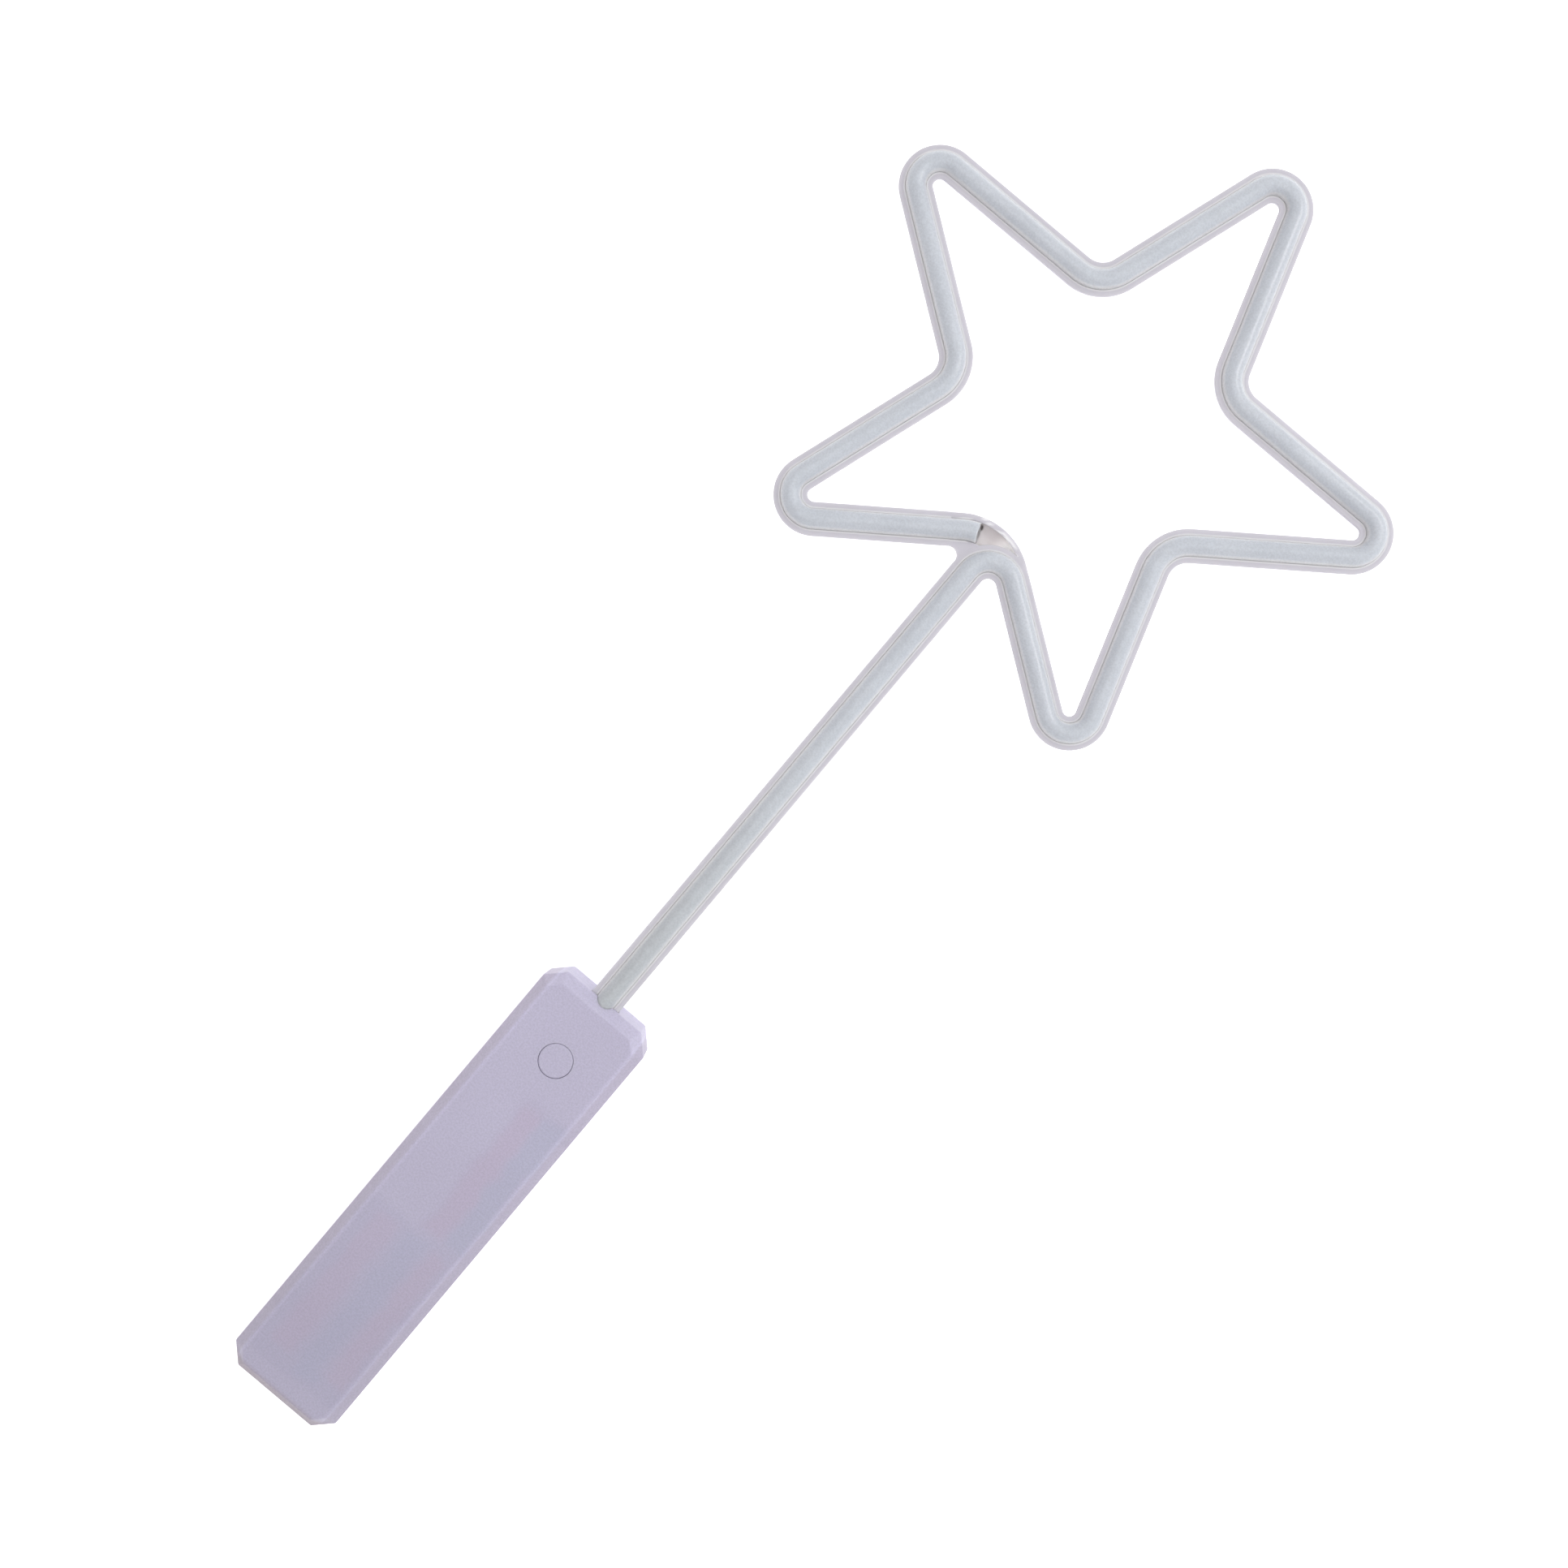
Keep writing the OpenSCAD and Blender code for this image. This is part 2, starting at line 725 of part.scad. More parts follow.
module power_button() {
    color([0.74, 0.71, 0.8])
    translate([0, button_y, 0]) {
        post(0, 0, button_diameter / 2, rim_z, handle_depth - button_edge);
        translate([0, 0, handle_depth - button_edge])
            cylinder(r1 = button_diameter / 2, r2 = button_diameter / 2 - button_edge, h = button_edge);
        post(0, 0, button_diameter / 2 + button_rim, rim_z, rim_z + rim_thickness);
        post(0, 0, button_stem_r, button_foot_z, rim_z);
    }
}

module switch_plunger() {
    color([0.2, 0.2, 0.22])
        post(0, button_y, plunger_r, button_foot_z - plunger_length, button_foot_z);
}

module tact_switch() {
    color([0.16, 0.16, 0.17])
    difference() {
        box([-switch_side / 2, button_y - switch_side / 2, board_top_z],
            [switch_side / 2, button_y + switch_side / 2, switch_top_z]);
        post(0, button_y, plunger_r + plunger_gap, button_foot_z - plunger_length - button_travel - plunger_room,
             switch_top_z + slack);
    }
}

module circuit_board() {
    color([0.16, 0.42, 0.26])
    difference() {
        box([-board_width / 2, board_y0, board_z], [board_width / 2, board_y1, board_top_z]);
        at_board_screws()
            post(0, 0, board_screw_r + fit_gap, 0, handle_depth);
    }
}

module board_screws() {
    color([0.75, 0.75, 0.76])
    at_board_screws() {
        mirror([0, 0, 1])
            cross_head(board_head_r, -board_top_z - board_head_height, -board_top_z);
        post(0, 0, board_screw_r, board_z - board_screw_bite, board_top_z);
    }
}

module board_piece(x, y, half, height) {
    translate([x, button_y + y, board_top_z])
        box([-half.x, -half.y, 0], [half.x, half.y, height]);
}

module driver_chip() {
    color([0.12, 0.12, 0.13])
        board_piece(board_width / 4, 0, chip_half, chip_height);
}

module board_components() {
    color([0.35, 0.3, 0.26]) {
        post(-board_width / 4, button_y, capacitor_r, board_top_z, board_top_z + capacitor_height);
        for (x = [-resistor_outer_x, -resistor_inner_x, resistor_inner_x, resistor_outer_x])
            board_piece(x, resistor_row_y, resistor_half, resistor_height);
        for (y = [-side_resistor_y, side_resistor_y])
            board_piece(side_resistor_x, y, [resistor_half.y, resistor_half.x], resistor_height);
    }
}

module cell(x, start_y, nub_up) {
    translate([x, start_y + cell_length / 2, cell_z])
        rotate([nub_up ? -90 : 90, 0, 0])
            translate([0, 0, -cell_length / 2]) {
                cylinder(d = cell_diameter, h = cell_length - nub_length);
                cylinder(r = nub_r, h = cell_length);
            }
}

module battery_lower_right() {
    color([0.6, 0.64, 0.72])
        cell(cell_x, lower_right_y, true);
}

module battery_upper_right() {
    color([0.6, 0.64, 0.72])
        cell(cell_x, upper_right_y, true);
}

module battery_lower_left() {
    color([0.6, 0.64, 0.72])
        cell(-cell_x, lower_left_y, false);
}

module contact_sheet(x, low_y, half_width) {
    box([x - half_width, low_y, contact_z], [x + half_width, low_y + contact_thickness, contact_top_z]);
}

module contact_tab(x, low_y, high_y) {
    box([x - tab_width / 2, low_y, lead_z - tab_height / 2],
        [x + tab_width / 2, high_y, lead_z + tab_height / 2]);
}

module positive_contact() {
    color([0.8, 0.79, 0.75]) {
        contact_sheet(cell_x, bay_y1 - contact_thickness, contact_width / 2);
        contact_tab(cell_x, bay_y1 - contact_thickness, bay_y1 + tray_wall + tab_reach);
    }
}

module negative_contact() {
    color([0.8, 0.79, 0.75]) {
        contact_sheet(-cell_x, mid_y0 - contact_thickness, contact_width / 2);
        contact_tab(-cell_x, mid_y0 - contact_thickness, mid_y1 + tab_reach);
    }
}

module middle_contact() {
    color([0.8, 0.79, 0.75]) {
        contact_sheet(cell_x, mid_y0 - contact_thickness, contact_width / 2);
        contact_sheet(cell_x, mid_y1, contact_width / 2);
        box([cell_x - contact_width / 2, mid_y0 - contact_thickness, contact_top_z - contact_thickness],
            [cell_x + contact_width / 2, mid_y1 + contact_thickness, contact_top_z]);
    }
}

module bridge_contact() {
    color([0.8, 0.79, 0.75])
        contact_sheet(0, bay_y0, cell_x + contact_width / 2);
}

// A conical spring as one tube: rings of points along a helix, closed at both ends
function spring_point(t) =
    let (radius = spring_base_r + (spring_tip_r - spring_base_r) * t, a = 360 * spring_turns * t,
         inset = spring_wire_r + step)
    [radius * cos(a), radius * sin(a), inset + (spring_room - 2 * inset) * t];
function spring_ring(t) =
    let (a = 360 * spring_turns * t, c = spring_point(t))
    [for (k = [0 : spring_sides - 1])
        let (b = 360 * k / spring_sides)
        c + spring_wire_r * (cos(b) * [cos(a), sin(a), 0] + sin(b) * [0, 0, 1])];
spring_rings = [for (i = [0 : spring_steps]) each spring_ring(i / spring_steps)];
spring_ends = [
    [for (k = [0 : spring_sides - 1]) k],
    [for (k = [spring_sides - 1 : -1 : 0]) spring_steps * spring_sides + k]
];
spring_sheets = [
    for (i = [0 : spring_steps - 1], k = [0 : spring_sides - 1])
        let (a = i * spring_sides, n = (k + 1) % spring_sides)
        each [[a + k, a + k + spring_sides, a + n], [a + n, a + k + spring_sides, a + n + spring_sides]]
];

module coil(x, start_y, towards_star) {
    translate([x, start_y, cell_z])
        rotate([towards_star ? -90 : 90, 0, 0])
            polyhedron(points = spring_rings, faces = concat(spring_ends, spring_sheets), convexity = 6);
}

module contact_springs() {
    color([0.78, 0.78, 0.78]) {
        coil(cell_x, bay_y0 + contact_thickness, true);
        coil(cell_x, mid_y1 + contact_thickness, true);
        coil(-cell_x, mid_y0 - contact_thickness, false);
    }
}

module lead_profile() {
    translate([0, lead_z])
        circle(lead_r + $swell);
}

// A lead along the tray, stepped outwards past the tray's end and then on to its pad
module lead(start, exit_y, pad_x) {
    jog_y = exit_y + lead_straight;
    sweep([start, [start.x, jog_y], [pad_x, jog_y + lead_jog], [pad_x, lead_end_y]],
          [0, lead_bend_r, lead_bend_r, 0])
        lead_profile();
}

module positive_lead() {
    exit_y = bay_y1 + tray_wall + tab_reach;
    color([0.75, 0.16, 0.14])
        lead([cell_x, exit_y], exit_y, cell_x + positive_jog);
}

module negative_lead() {
    exit_y = bay_y1 + tray_wall + tab_reach;
    color([0.13, 0.13, 0.14])
        lead([-cell_x, mid_y1 + tab_reach], exit_y, -cell_x - negative_jog);
}

module led_leads() {
    low_z = board_top_z + led_lead_r;
    rise_y = board_y1 - led_pad_inset;
    color([0.8, 0.8, 0.82])
    for (x = [-led_lead_x, led_lead_x])
        translate([x, 0, 0])
            rotate([90, 0, 90])
                sweep([[rise_y - led_pad_length, low_z], [rise_y, low_z],
                       [tube_start_y - led_lead_level, tube_z], [strip_start_y, tube_z]],
                      [0, led_lead_bend, led_lead_bend, 0])
                    circle(led_lead_r + $swell);
}

module star_carrier() {
    color([0.83, 0.81, 0.87]) {
        sweep(light_path([0, tail_y], join_left), light_bends, end_collar = true)
            channel_profile();
        difference() {
            sweep([join_left, join_point, join_right], [0, join_bend_r, 0])
                join_profile();
            // the joining land runs into the wall of the stem's trough, and leaves the tube's way free
            sweep([[0, end_y], join_point, star_corner(1)], [0, turn_bend_r, 0])
                groove_room();
        }
        corner_fillet();
        for (side = [0, 1])
            mirror([side, 0, 0])
                box([(groove_r + trough_r) / 2, tail_y, flange_top_z - tail_head_height],
                    [tail_head_width / 2, tail_y + tail_head_length, flange_top_z]);
    }
}

// Height on the plan, at x, of a line set below the star's lower left edge
function below_left_edge(x, offset) =
    join_point.y + x / tan(notch_half) - offset / sin(notch_half);

module corner_fillet() {
    edge = flange_width / 2;
    inset = 0.6 * (edge - groove_r);
    reach = edge + corner_fillet_r - step;
    centre = [-reach, below_left_edge(-reach, reach)];
    across = [-cos(notch_half), sin(notch_half)];
    far = [inset - edge, below_left_edge(inset - edge, edge - inset)];
    // a hair thinner than the flange, so that no faces lie in one plane
    translate([0, 0, flange_top_z - flange_thickness + collar_swell])
        linear_extrude(flange_thickness - 2 * collar_swell)
            difference() {
                polygon([
                    centre,
                    [inset - edge, centre.y],
                    turn_centre + (turn_bend_r + edge - overlap) * unit(far - turn_centre),
                    far,
                    centre + (corner_fillet_r + inset) * across,
                ]);
                translate(centre)
                    circle(corner_fillet_r);
            }
}

module neon_tube() {
    color([0.8, 0.81, 0.84])
        sweep(tube_path, tube_bends)
            tube_profile();
}

module led_strip() {
    color([0.9, 0.88, 0.8])
        sweep(light_path([0, strip_start_y], tube_bend_start), light_bends)
            strip_profile();
}

module led_chips() {
    path = light_path([0, strip_start_y], tube_bend_start);
    color([0.95, 0.9, 0.6])
    for (i = [0 : len(path) - 2]) {
        run = run_length(path, light_bends, i);
        count = floor(run / lamp_pitch);
        for (j = [1 : 1 : count])
            place_run(path, light_bends, i)
                translate([strip_thickness / 2, tube_z - strip_drop - lamp_height / 2,
                           (j - 0.5) * run / count - lamp_length / 2])
                    cube([lamp_thickness, lamp_height, lamp_length]);
    }
}

front_shell();
back_shell();
battery_door();
door_screw();
case_screws();
power_button();
switch_plunger();
tact_switch();
circuit_board();
board_screws();
driver_chip();
board_components();
battery_lower_right();
battery_upper_right();
battery_lower_left();
positive_contact();
middle_contact();
bridge_contact();
negative_contact();
contact_springs();
positive_lead();
negative_lead();
led_leads();
star_carrier();
neon_tube();
led_strip();
led_chips();
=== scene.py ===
import math

import bmesh
import bpy
from mathutils import Matrix, Vector


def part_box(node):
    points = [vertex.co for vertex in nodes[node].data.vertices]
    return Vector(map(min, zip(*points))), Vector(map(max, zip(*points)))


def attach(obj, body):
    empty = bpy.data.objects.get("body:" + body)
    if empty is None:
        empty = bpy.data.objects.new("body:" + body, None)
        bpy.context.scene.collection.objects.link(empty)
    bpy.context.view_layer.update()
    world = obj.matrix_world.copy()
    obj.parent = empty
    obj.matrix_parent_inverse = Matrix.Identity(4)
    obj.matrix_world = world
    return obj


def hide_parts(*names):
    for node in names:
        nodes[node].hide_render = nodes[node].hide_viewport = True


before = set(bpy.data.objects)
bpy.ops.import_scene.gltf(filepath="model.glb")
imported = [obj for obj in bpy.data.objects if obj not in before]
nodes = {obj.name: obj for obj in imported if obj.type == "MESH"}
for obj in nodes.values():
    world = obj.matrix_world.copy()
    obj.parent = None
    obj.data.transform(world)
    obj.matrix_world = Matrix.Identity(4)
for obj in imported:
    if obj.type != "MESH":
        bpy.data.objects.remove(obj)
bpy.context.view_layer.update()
scene = bpy.context.scene
mm = 0.001
print("frame loaded:", len(nodes), "nodes")


# Node helpers: sockets are set by name or number, from a value or from another socket

bumpDepth = 0.1 * mm
spread = {"cloud": (0.3, 0.7), "uneven": (0.2, 0.8), "speck": (0.25, 0.75)}  # parts of a noise's range in use
speck = {"scale": 1900, "detail": 2}
cloudDetail = 3


def shaderTree(name):
    material = bpy.data.materials.new(name)
    material.use_nodes = True
    return material, material.node_tree, material.node_tree.nodes["Principled BSDF"]


def addNode(tree, kind, inputs, **settings):
    node = tree.nodes.new("ShaderNode" + kind)
    for key, value in settings.items():
        setattr(node, key, value)
    setInputs(tree, node, inputs)
    return node


def setInputs(tree, node, inputs):
    for key, value in inputs.items():
        if isinstance(value, bpy.types.NodeSocket):
            tree.links.new(value, node.inputs[key])
        else:
            node.inputs[key].default_value = value


def maths(tree, operation, first, second=0.0):
    return addNode(tree, "Math", {0: first, 1: second}, operation=operation).outputs[0]


def product(tree, first, second):
    return maths(tree, "MULTIPLY", first, second)


def rangeOf(tree, value, fromLow, fromHigh, toLow=0.0, toHigh=1.0):
    inputs = {0: value, 1: fromLow, 2: fromHigh, 3: toLow, 4: toHigh}
    return addNode(tree, "MapRange", inputs, interpolation_type="SMOOTHSTEP").outputs[0]


def mixColour(tree, factor, first, second, blend="MIX"):
    inputs = {0: factor, 6: first, 7: second}
    return addNode(tree, "Mix", inputs, data_type="RGBA", blend_type=blend).outputs[2]


def tinted(tree, factor, base, tint):
    return mixColour(tree, factor, base, tint, "MULTIPLY")


def shaded(tree, base, level):
    grey = addNode(tree, "CombineXYZ", {0: level, 1: level, 2: level}).outputs[0]
    return tinted(tree, 1.0, base, grey)


def objectPoints(tree, stretch=(1, 1, 1)):
    source = addNode(tree, "TexCoord", {}).outputs["Object"]
    return addNode(tree, "Mapping", {"Vector": source, "Scale": stretch}).outputs[0]


def axesOf(tree, points):
    return addNode(tree, "SeparateXYZ", {0: points}).outputs


def distanceTo(tree, points, place):
    return addNode(tree, "VectorMath", {0: points, 1: place}, operation="DISTANCE").outputs["Value"]


def noise(tree, points, scale, detail, rough=0.5):
    inputs = {"Vector": points, "Scale": scale, "Detail": detail, "Roughness": rough}
    return addNode(tree, "TexNoise", inputs).outputs[0]


def cloudy(tree, points, scale, low=0.0, high=1.0):
    return rangeOf(tree, noise(tree, points, scale, cloudDetail), *spread["cloud"], low, high)


def uneven(tree, points, scale, detail, low, high):
    return rangeOf(tree, noise(tree, points, scale, detail), *spread["uneven"], low, high)


def speckled(tree, points, base, low, high):
    level = noise(tree, points, speck["scale"], speck["detail"])
    return shaded(tree, base, rangeOf(tree, level, *spread["speck"], low, high))


def bump(tree, height, strength):
    inputs = {"Height": height, "Strength": strength, "Distance": bumpDepth}
    return addNode(tree, "Bump", inputs).outputs[0]


def grained(tree, points, strength, scale, detail, rough=0.5):
    return bump(tree, noise(tree, points, scale, detail, rough), strength)


def colour(red, green, blue):
    def linear(value):
        share = value / 255
        return share / 12.92 if share <= 0.04045 else ((share + 0.055) / 1.055) ** 2.4
    return (linear(red), linear(green), linear(blue), 1)


# Mesh helpers

bendStep = 5  # degrees of a bend for each step of a sweep
roundCorner = {"profile": 0.5, "material": -1}


def meshObject(name, bm):
    bmesh.ops.recalc_face_normals(bm, faces=bm.faces)
    mesh = bpy.data.meshes.new(name)
    bm.to_mesh(mesh)
    bm.free()
    made = bpy.data.objects.new(name, mesh)
    scene.collection.objects.link(made)
    return made


def paint(piece, material):
    piece.data.materials.clear()
    piece.data.materials.append(material)
    piece.data.polygons.foreach_set("use_smooth", [True] * len(piece.data.polygons))


def dress(piece, body, replaced, material, angle):
    paint(piece, material)
    piece.data.set_sharp_from_angle(angle=math.radians(angle))
    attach(piece, body)
    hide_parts(*replaced)


def vertsOf(geometry):
    return [item for item in geometry if isinstance(item, bmesh.types.BMVert)]


def edgesOf(geometry):
    return [item for item in geometry if isinstance(item, bmesh.types.BMEdge)]


def turnAt(points, index):
    before = points[index] - points[index - 1]
    after = points[index + 1] - points[index]
    return math.atan2(before.x * after.y - before.y * after.x, before.dot(after))


def tangentAt(points, bends, index):
    inner = 0 < index < len(points) - 1
    return bends[index] * math.tan(abs(turnAt(points, index)) / 2) if inner else 0.0


# Carries open edges along a path on the plan, with a round bend at each inner point
def sweep(bm, edges, points, bends):
    for index in range(len(points) - 1):
        step = points[index + 1] - points[index]
        ahead = step.normalized()
        length = step.length - tangentAt(points, bends, index) - tangentAt(points, bends, index + 1)
        grown = bmesh.ops.extrude_edge_only(bm, edges=edges)["geom"]
        verts = vertsOf(grown)
        fresh = set(verts)
        edges = [e for e in edgesOf(grown) if e.verts[0] in fresh and e.verts[1] in fresh]
        bmesh.ops.translate(bm, verts=verts, vec=(ahead * length * mm).to_3d())
        if index == len(points) - 2:
            return edges
        turn = turnAt(points, index + 1)
        corner = points[index + 1] - ahead * tangentAt(points, bends, index + 1)
        centre = corner + Vector((-ahead.y, ahead.x)) * math.copysign(bends[index + 1], turn)
        spun = bmesh.ops.spin(
            bm, geom=verts + edges, cent=(centre * mm).to_3d(), axis=(0, 0, 1), angle=turn,
            steps=max(2, math.ceil(abs(math.degrees(turn)) / bendStep)), use_duplicate=False)["geom_last"]
        edges = edgesOf(spun)


# The light's path, in millimetres on the plan: up the stem, round the star and back to the joining notch

star = {
    "middle": 127.915, "notch": 37.7, "point": 98.6, "tipBend": 6.6, "notchBend": 10.5,
    "turnBend": 7.0, "joinBend": 14.5, "endTurn": math.radians(16), "stub": 0.6, "tailY": -88.685,
}


def starCorner(step):
    angle = math.radians(-90 + 36 * step)  # ten corners, counted from the lowest notch
    radius = star["point"] if step % 2 else star["notch"]
    return Vector((radius * math.cos(angle), star["middle"] + radius * math.sin(angle)))


joinPoint = starCorner(0)
leftEdge = (starCorner(9) - joinPoint).normalized()
rightEdge = (starCorner(1) - joinPoint).normalized()
notchHalf = math.atan2(rightEdge.x, -rightEdge.y)
turnTangent = star["turnBend"] * math.tan((math.pi - notchHalf) / 2)
joinTangent = star["joinBend"] * math.tan(math.pi / 2 - notchHalf)
starRun = [starCorner(step) for step in range(1, 10)]
starBends = [star["tipBend"] if step % 2 else star["notchBend"] for step in range(1, 10)]

# The tube's free end leaves the star's left edge by a part of the joining bend
endTangent = star["joinBend"] * math.tan(star["endTurn"] / 2)
endCorner = joinPoint + leftEdge * (joinTangent - endTangent)
endHeading = math.atan2(-leftEdge.y, -leftEdge.x) - star["endTurn"]
endAhead = Vector((math.cos(endHeading), math.sin(endHeading)))
freeEnd = endCorner + endAhead * (endTangent + star["stub"])
print("joining point", [round(value, 3) for value in joinPoint])


# Materials: places are in metres, from where a tint starts to where it ends
# Roughness holds a noise's scale and detail, and a low and a high value
# Grain holds a bump's strength, and its noise's scale and detail

# Where the cells show through the front face: left, right, low and high in millimetres, and a tint
showThrough = {
    "patches": (
        (-14.8, 14.8, -208.5, -155.6, (0.955, 0.958, 0.968, 1)),
        (0.6, 15.2, -155.2, -109.4, (0.965, 0.955, 0.962, 1)),
        (8.4, 14.6, -154.6, -110.0, (0.952, 1.0, 1.0, 1)),
        (1.6, 7.8, -154.0, -111.5, (1.02, 0.974, 0.98, 1)),
        (-0.8, 5.6, -207.0, -157.0, (0.962, 0.99, 0.995, 1)),
        (-10.6, -3.4, -203.0, -158.5, (1.025, 0.976, 0.978, 1)),
        (7.4, 13.4, -203.0, -158.0, (1.03, 0.978, 0.976, 1)),
    ),
    "soft": 1.6 * mm, "wander": 0.005, "wanderScale": 120, "front": (0.0165, 0.0195),
}
plastic = {
    "light": colour(190, 186, 208), "deep": colour(184, 179, 201), "mottleScale": 35, "mottle": 0.35,
    # dim: painted shade, darker towards the butt, standing in for the light's falloff along the handle
    "dim": (-0.225, -0.085, 0.87, 1.0),
    # butt: painted shade on the butt's bevel
    "buttAlong": (-0.2146, -0.2122, 1, 0), "buttHeight": (0.0164, 0.0169),
    "buttShade": (0.83, 0.77, 0.71, 1),
    # right and left bevels: painted shade on the side bevels
    "rightBevel": (0.0146, 0.0156), "rightBevelShade": (0.88, 0.855, 0.85, 1),
    "leftBevel": (-0.0156, -0.0146, 1, 0), "leftBevelShade": (0.94, 0.92, 0.9, 1),
    # ridge: a painted highlight along the edge between the front face and the side bevels
    "ridgeInner": (0.0138, 0.0144), "ridgeOuter": (0.0147, 0.0151, 1, 0), "ridgeHighlight": (1.06, 1.06, 1.06, 1),
    "speck": (0.92, 1.07), "roughness": (400, 3, 0.46, 0.6), "grain": (0.16, 2400, 3, 0.6),
    "scatter": 0.35, "scatterRadius": (1.0, 0.9, 1.0), "scatterDepth": 2 * mm,
}


def cellsThrough(tree, points, axes, base):
    wander = noise(tree, points, showThrough["wanderScale"], cloudDetail)
    wander = product(tree, maths(tree, "SUBTRACT", wander, 0.5), showThrough["wander"])
    across = maths(tree, "ADD", axes[0], wander)
    along = maths(tree, "ADD", axes[1], wander)
    front = rangeOf(tree, axes[2], *showThrough["front"])
    soft = showThrough["soft"]

    def within(value, low, high):
        half = (high - low) / 2 * mm
        off = maths(tree, "ABSOLUTE", maths(tree, "SUBTRACT", value, (low + high) / 2 * mm))
        return rangeOf(tree, off, half - soft, half + soft, 1, 0)

    for left, right, low, high, tint in showThrough["patches"]:
        patch = product(tree, within(across, left, right), within(along, low, high))
        base = tinted(tree, product(tree, patch, front), base, tint)
    return base


def lavenderPlastic():
    material, tree, shader = shaderTree("lavenderPlastic")
    points = objectPoints(tree)
    axes = axesOf(tree, points)
    x, y, z = axes
    mottle = cloudy(tree, points, plastic["mottleScale"], 0, plastic["mottle"])
    base = mixColour(tree, mottle, plastic["light"], plastic["deep"])
    base = cellsThrough(tree, points, axes, base)
    # Painted shade: darker towards the butt, for the light's falloff along the handle
    base = shaded(tree, base, rangeOf(tree, y, *plastic["dim"]))
    # Painted shade on the butt's bevel
    butt = rangeOf(tree, y, *plastic["buttAlong"])
    butt = product(tree, butt, rangeOf(tree, z, *plastic["buttHeight"]))
    base = tinted(tree, butt, base, plastic["buttShade"])
    # Painted shade on the side bevels
    base = tinted(tree, rangeOf(tree, x, *plastic["rightBevel"]), base, plastic["rightBevelShade"])
    base = tinted(tree, rangeOf(tree, x, *plastic["leftBevel"]), base, plastic["leftBevelShade"])
    # Painted highlight: a light line where the front face meets the side bevels
    aside = maths(tree, "ABSOLUTE", x)
    ridge = rangeOf(tree, aside, *plastic["ridgeInner"])
    ridge = product(tree, ridge, rangeOf(tree, aside, *plastic["ridgeOuter"]))
    base = tinted(tree, ridge, base, plastic["ridgeHighlight"])
    setInputs(tree, shader, {
        "Base Color": speckled(tree, points, base, *plastic["speck"]),
        "Roughness": uneven(tree, points, *plastic["roughness"]),
        "Normal": grained(tree, points, *plastic["grain"]),
        "Subsurface Weight": plastic["scatter"], "Subsurface Radius": plastic["scatterRadius"],
        "Subsurface Scale": plastic["scatterDepth"],
    })
    return material


# Painted shadow: a dark wedge painted beside the tube's cut end for the shade in the gap there; millimetres
# ahead and to the left of the end, and its size
gapShade = {"ahead": 0.1, "left": 2.0, "size": (0.4 * mm, 1.0 * mm), "tone": colour(112, 106, 104)}


# Mask of the painted shadow beside the tube's cut end
def inGapShade(tree):
    left = Vector((-endAhead.y, endAhead.x))
    spot = (freeEnd + endAhead * gapShade["ahead"] + left * gapShade["left"]) * mm
    away = distanceTo(tree, objectPoints(tree, (1, 1, 0)), spot.to_3d())
    return rangeOf(tree, away, *gapShade["size"], 1, 0)


# The open pocket of the channel past the tube's end, with painted light that makes it lightest in its narrow
# corner, covering the shade at the trough's end
pocket = {
    "place": (-0.0005, 0.0863, 0.013), "reach": (0.0095, 0.0125), "height": (0.0153, 0.01545),
    "tone": colour(212, 209, 209),
    "corner": (0.0055, 0.0868, 0.0135), "cornerReach": (0.002, 0.0065), "cornerLight": colour(250, 247, 246),
}
frost = {
    "light": colour(201, 199, 207), "deep": colour(197, 195, 203), "cloudScale": 90,
    # rim: painted light along the groove's rim, a light line that also covers the crevice's shade beside the
    # tube
    "rim": 0.8, "rimLight": colour(243, 243, 245), "roughness": (260, 2, 0.36, 0.5),
    "stretch": (1, 1, 4), "drawn": (0.06, 900, 2),
    "scatter": (0.4, 1.0), "scatterRadius": (1.0, 0.97, 1.0), "scatterDepth": 2 * mm,
}


def frostedChannel():
    material, tree, shader = shaderTree("frostedChannel")
    points = objectPoints(tree)
    z = axesOf(tree, points)[2]
    base = mixColour(tree, cloudy(tree, points, frost["cloudScale"]), frost["light"], frost["deep"])
    # Painted light along the groove's rim
    rim = addNode(tree, "Attribute", {}, attribute_name="rim").outputs["Fac"]
    base = mixColour(tree, product(tree, rim, frost["rim"]), base, frost["rimLight"])
    near = rangeOf(tree, distanceTo(tree, points, pocket["place"]), *pocket["reach"], 1, 0)
    inPocket = product(tree, near, rangeOf(tree, z, *pocket["height"], 1, 0))
    base = mixColour(tree, inPocket, base, pocket["tone"])
    # Painted light in the pocket's narrow corner, covering its shade
    corner = rangeOf(tree, distanceTo(tree, points, pocket["corner"]), *pocket["cornerReach"], 1, 0)
    base = mixColour(tree, product(tree, inPocket, corner), base, pocket["cornerLight"])
    setInputs(tree, shader, {
        # The painted shadow of the gap by the tube's cut end
        "Base Color": mixColour(tree, inGapShade(tree), base, gapShade["tone"]),
        "Roughness": uneven(tree, points, *frost["roughness"]),
        "Normal": grained(tree, objectPoints(tree, frost["stretch"]), *frost["drawn"]),
        "Subsurface Weight": rangeOf(tree, inPocket, 0, 1, *frost["scatter"]),
        "Subsurface Radius": frost["scatterRadius"], "Subsurface Scale": frost["scatterDepth"],
    })
    return material


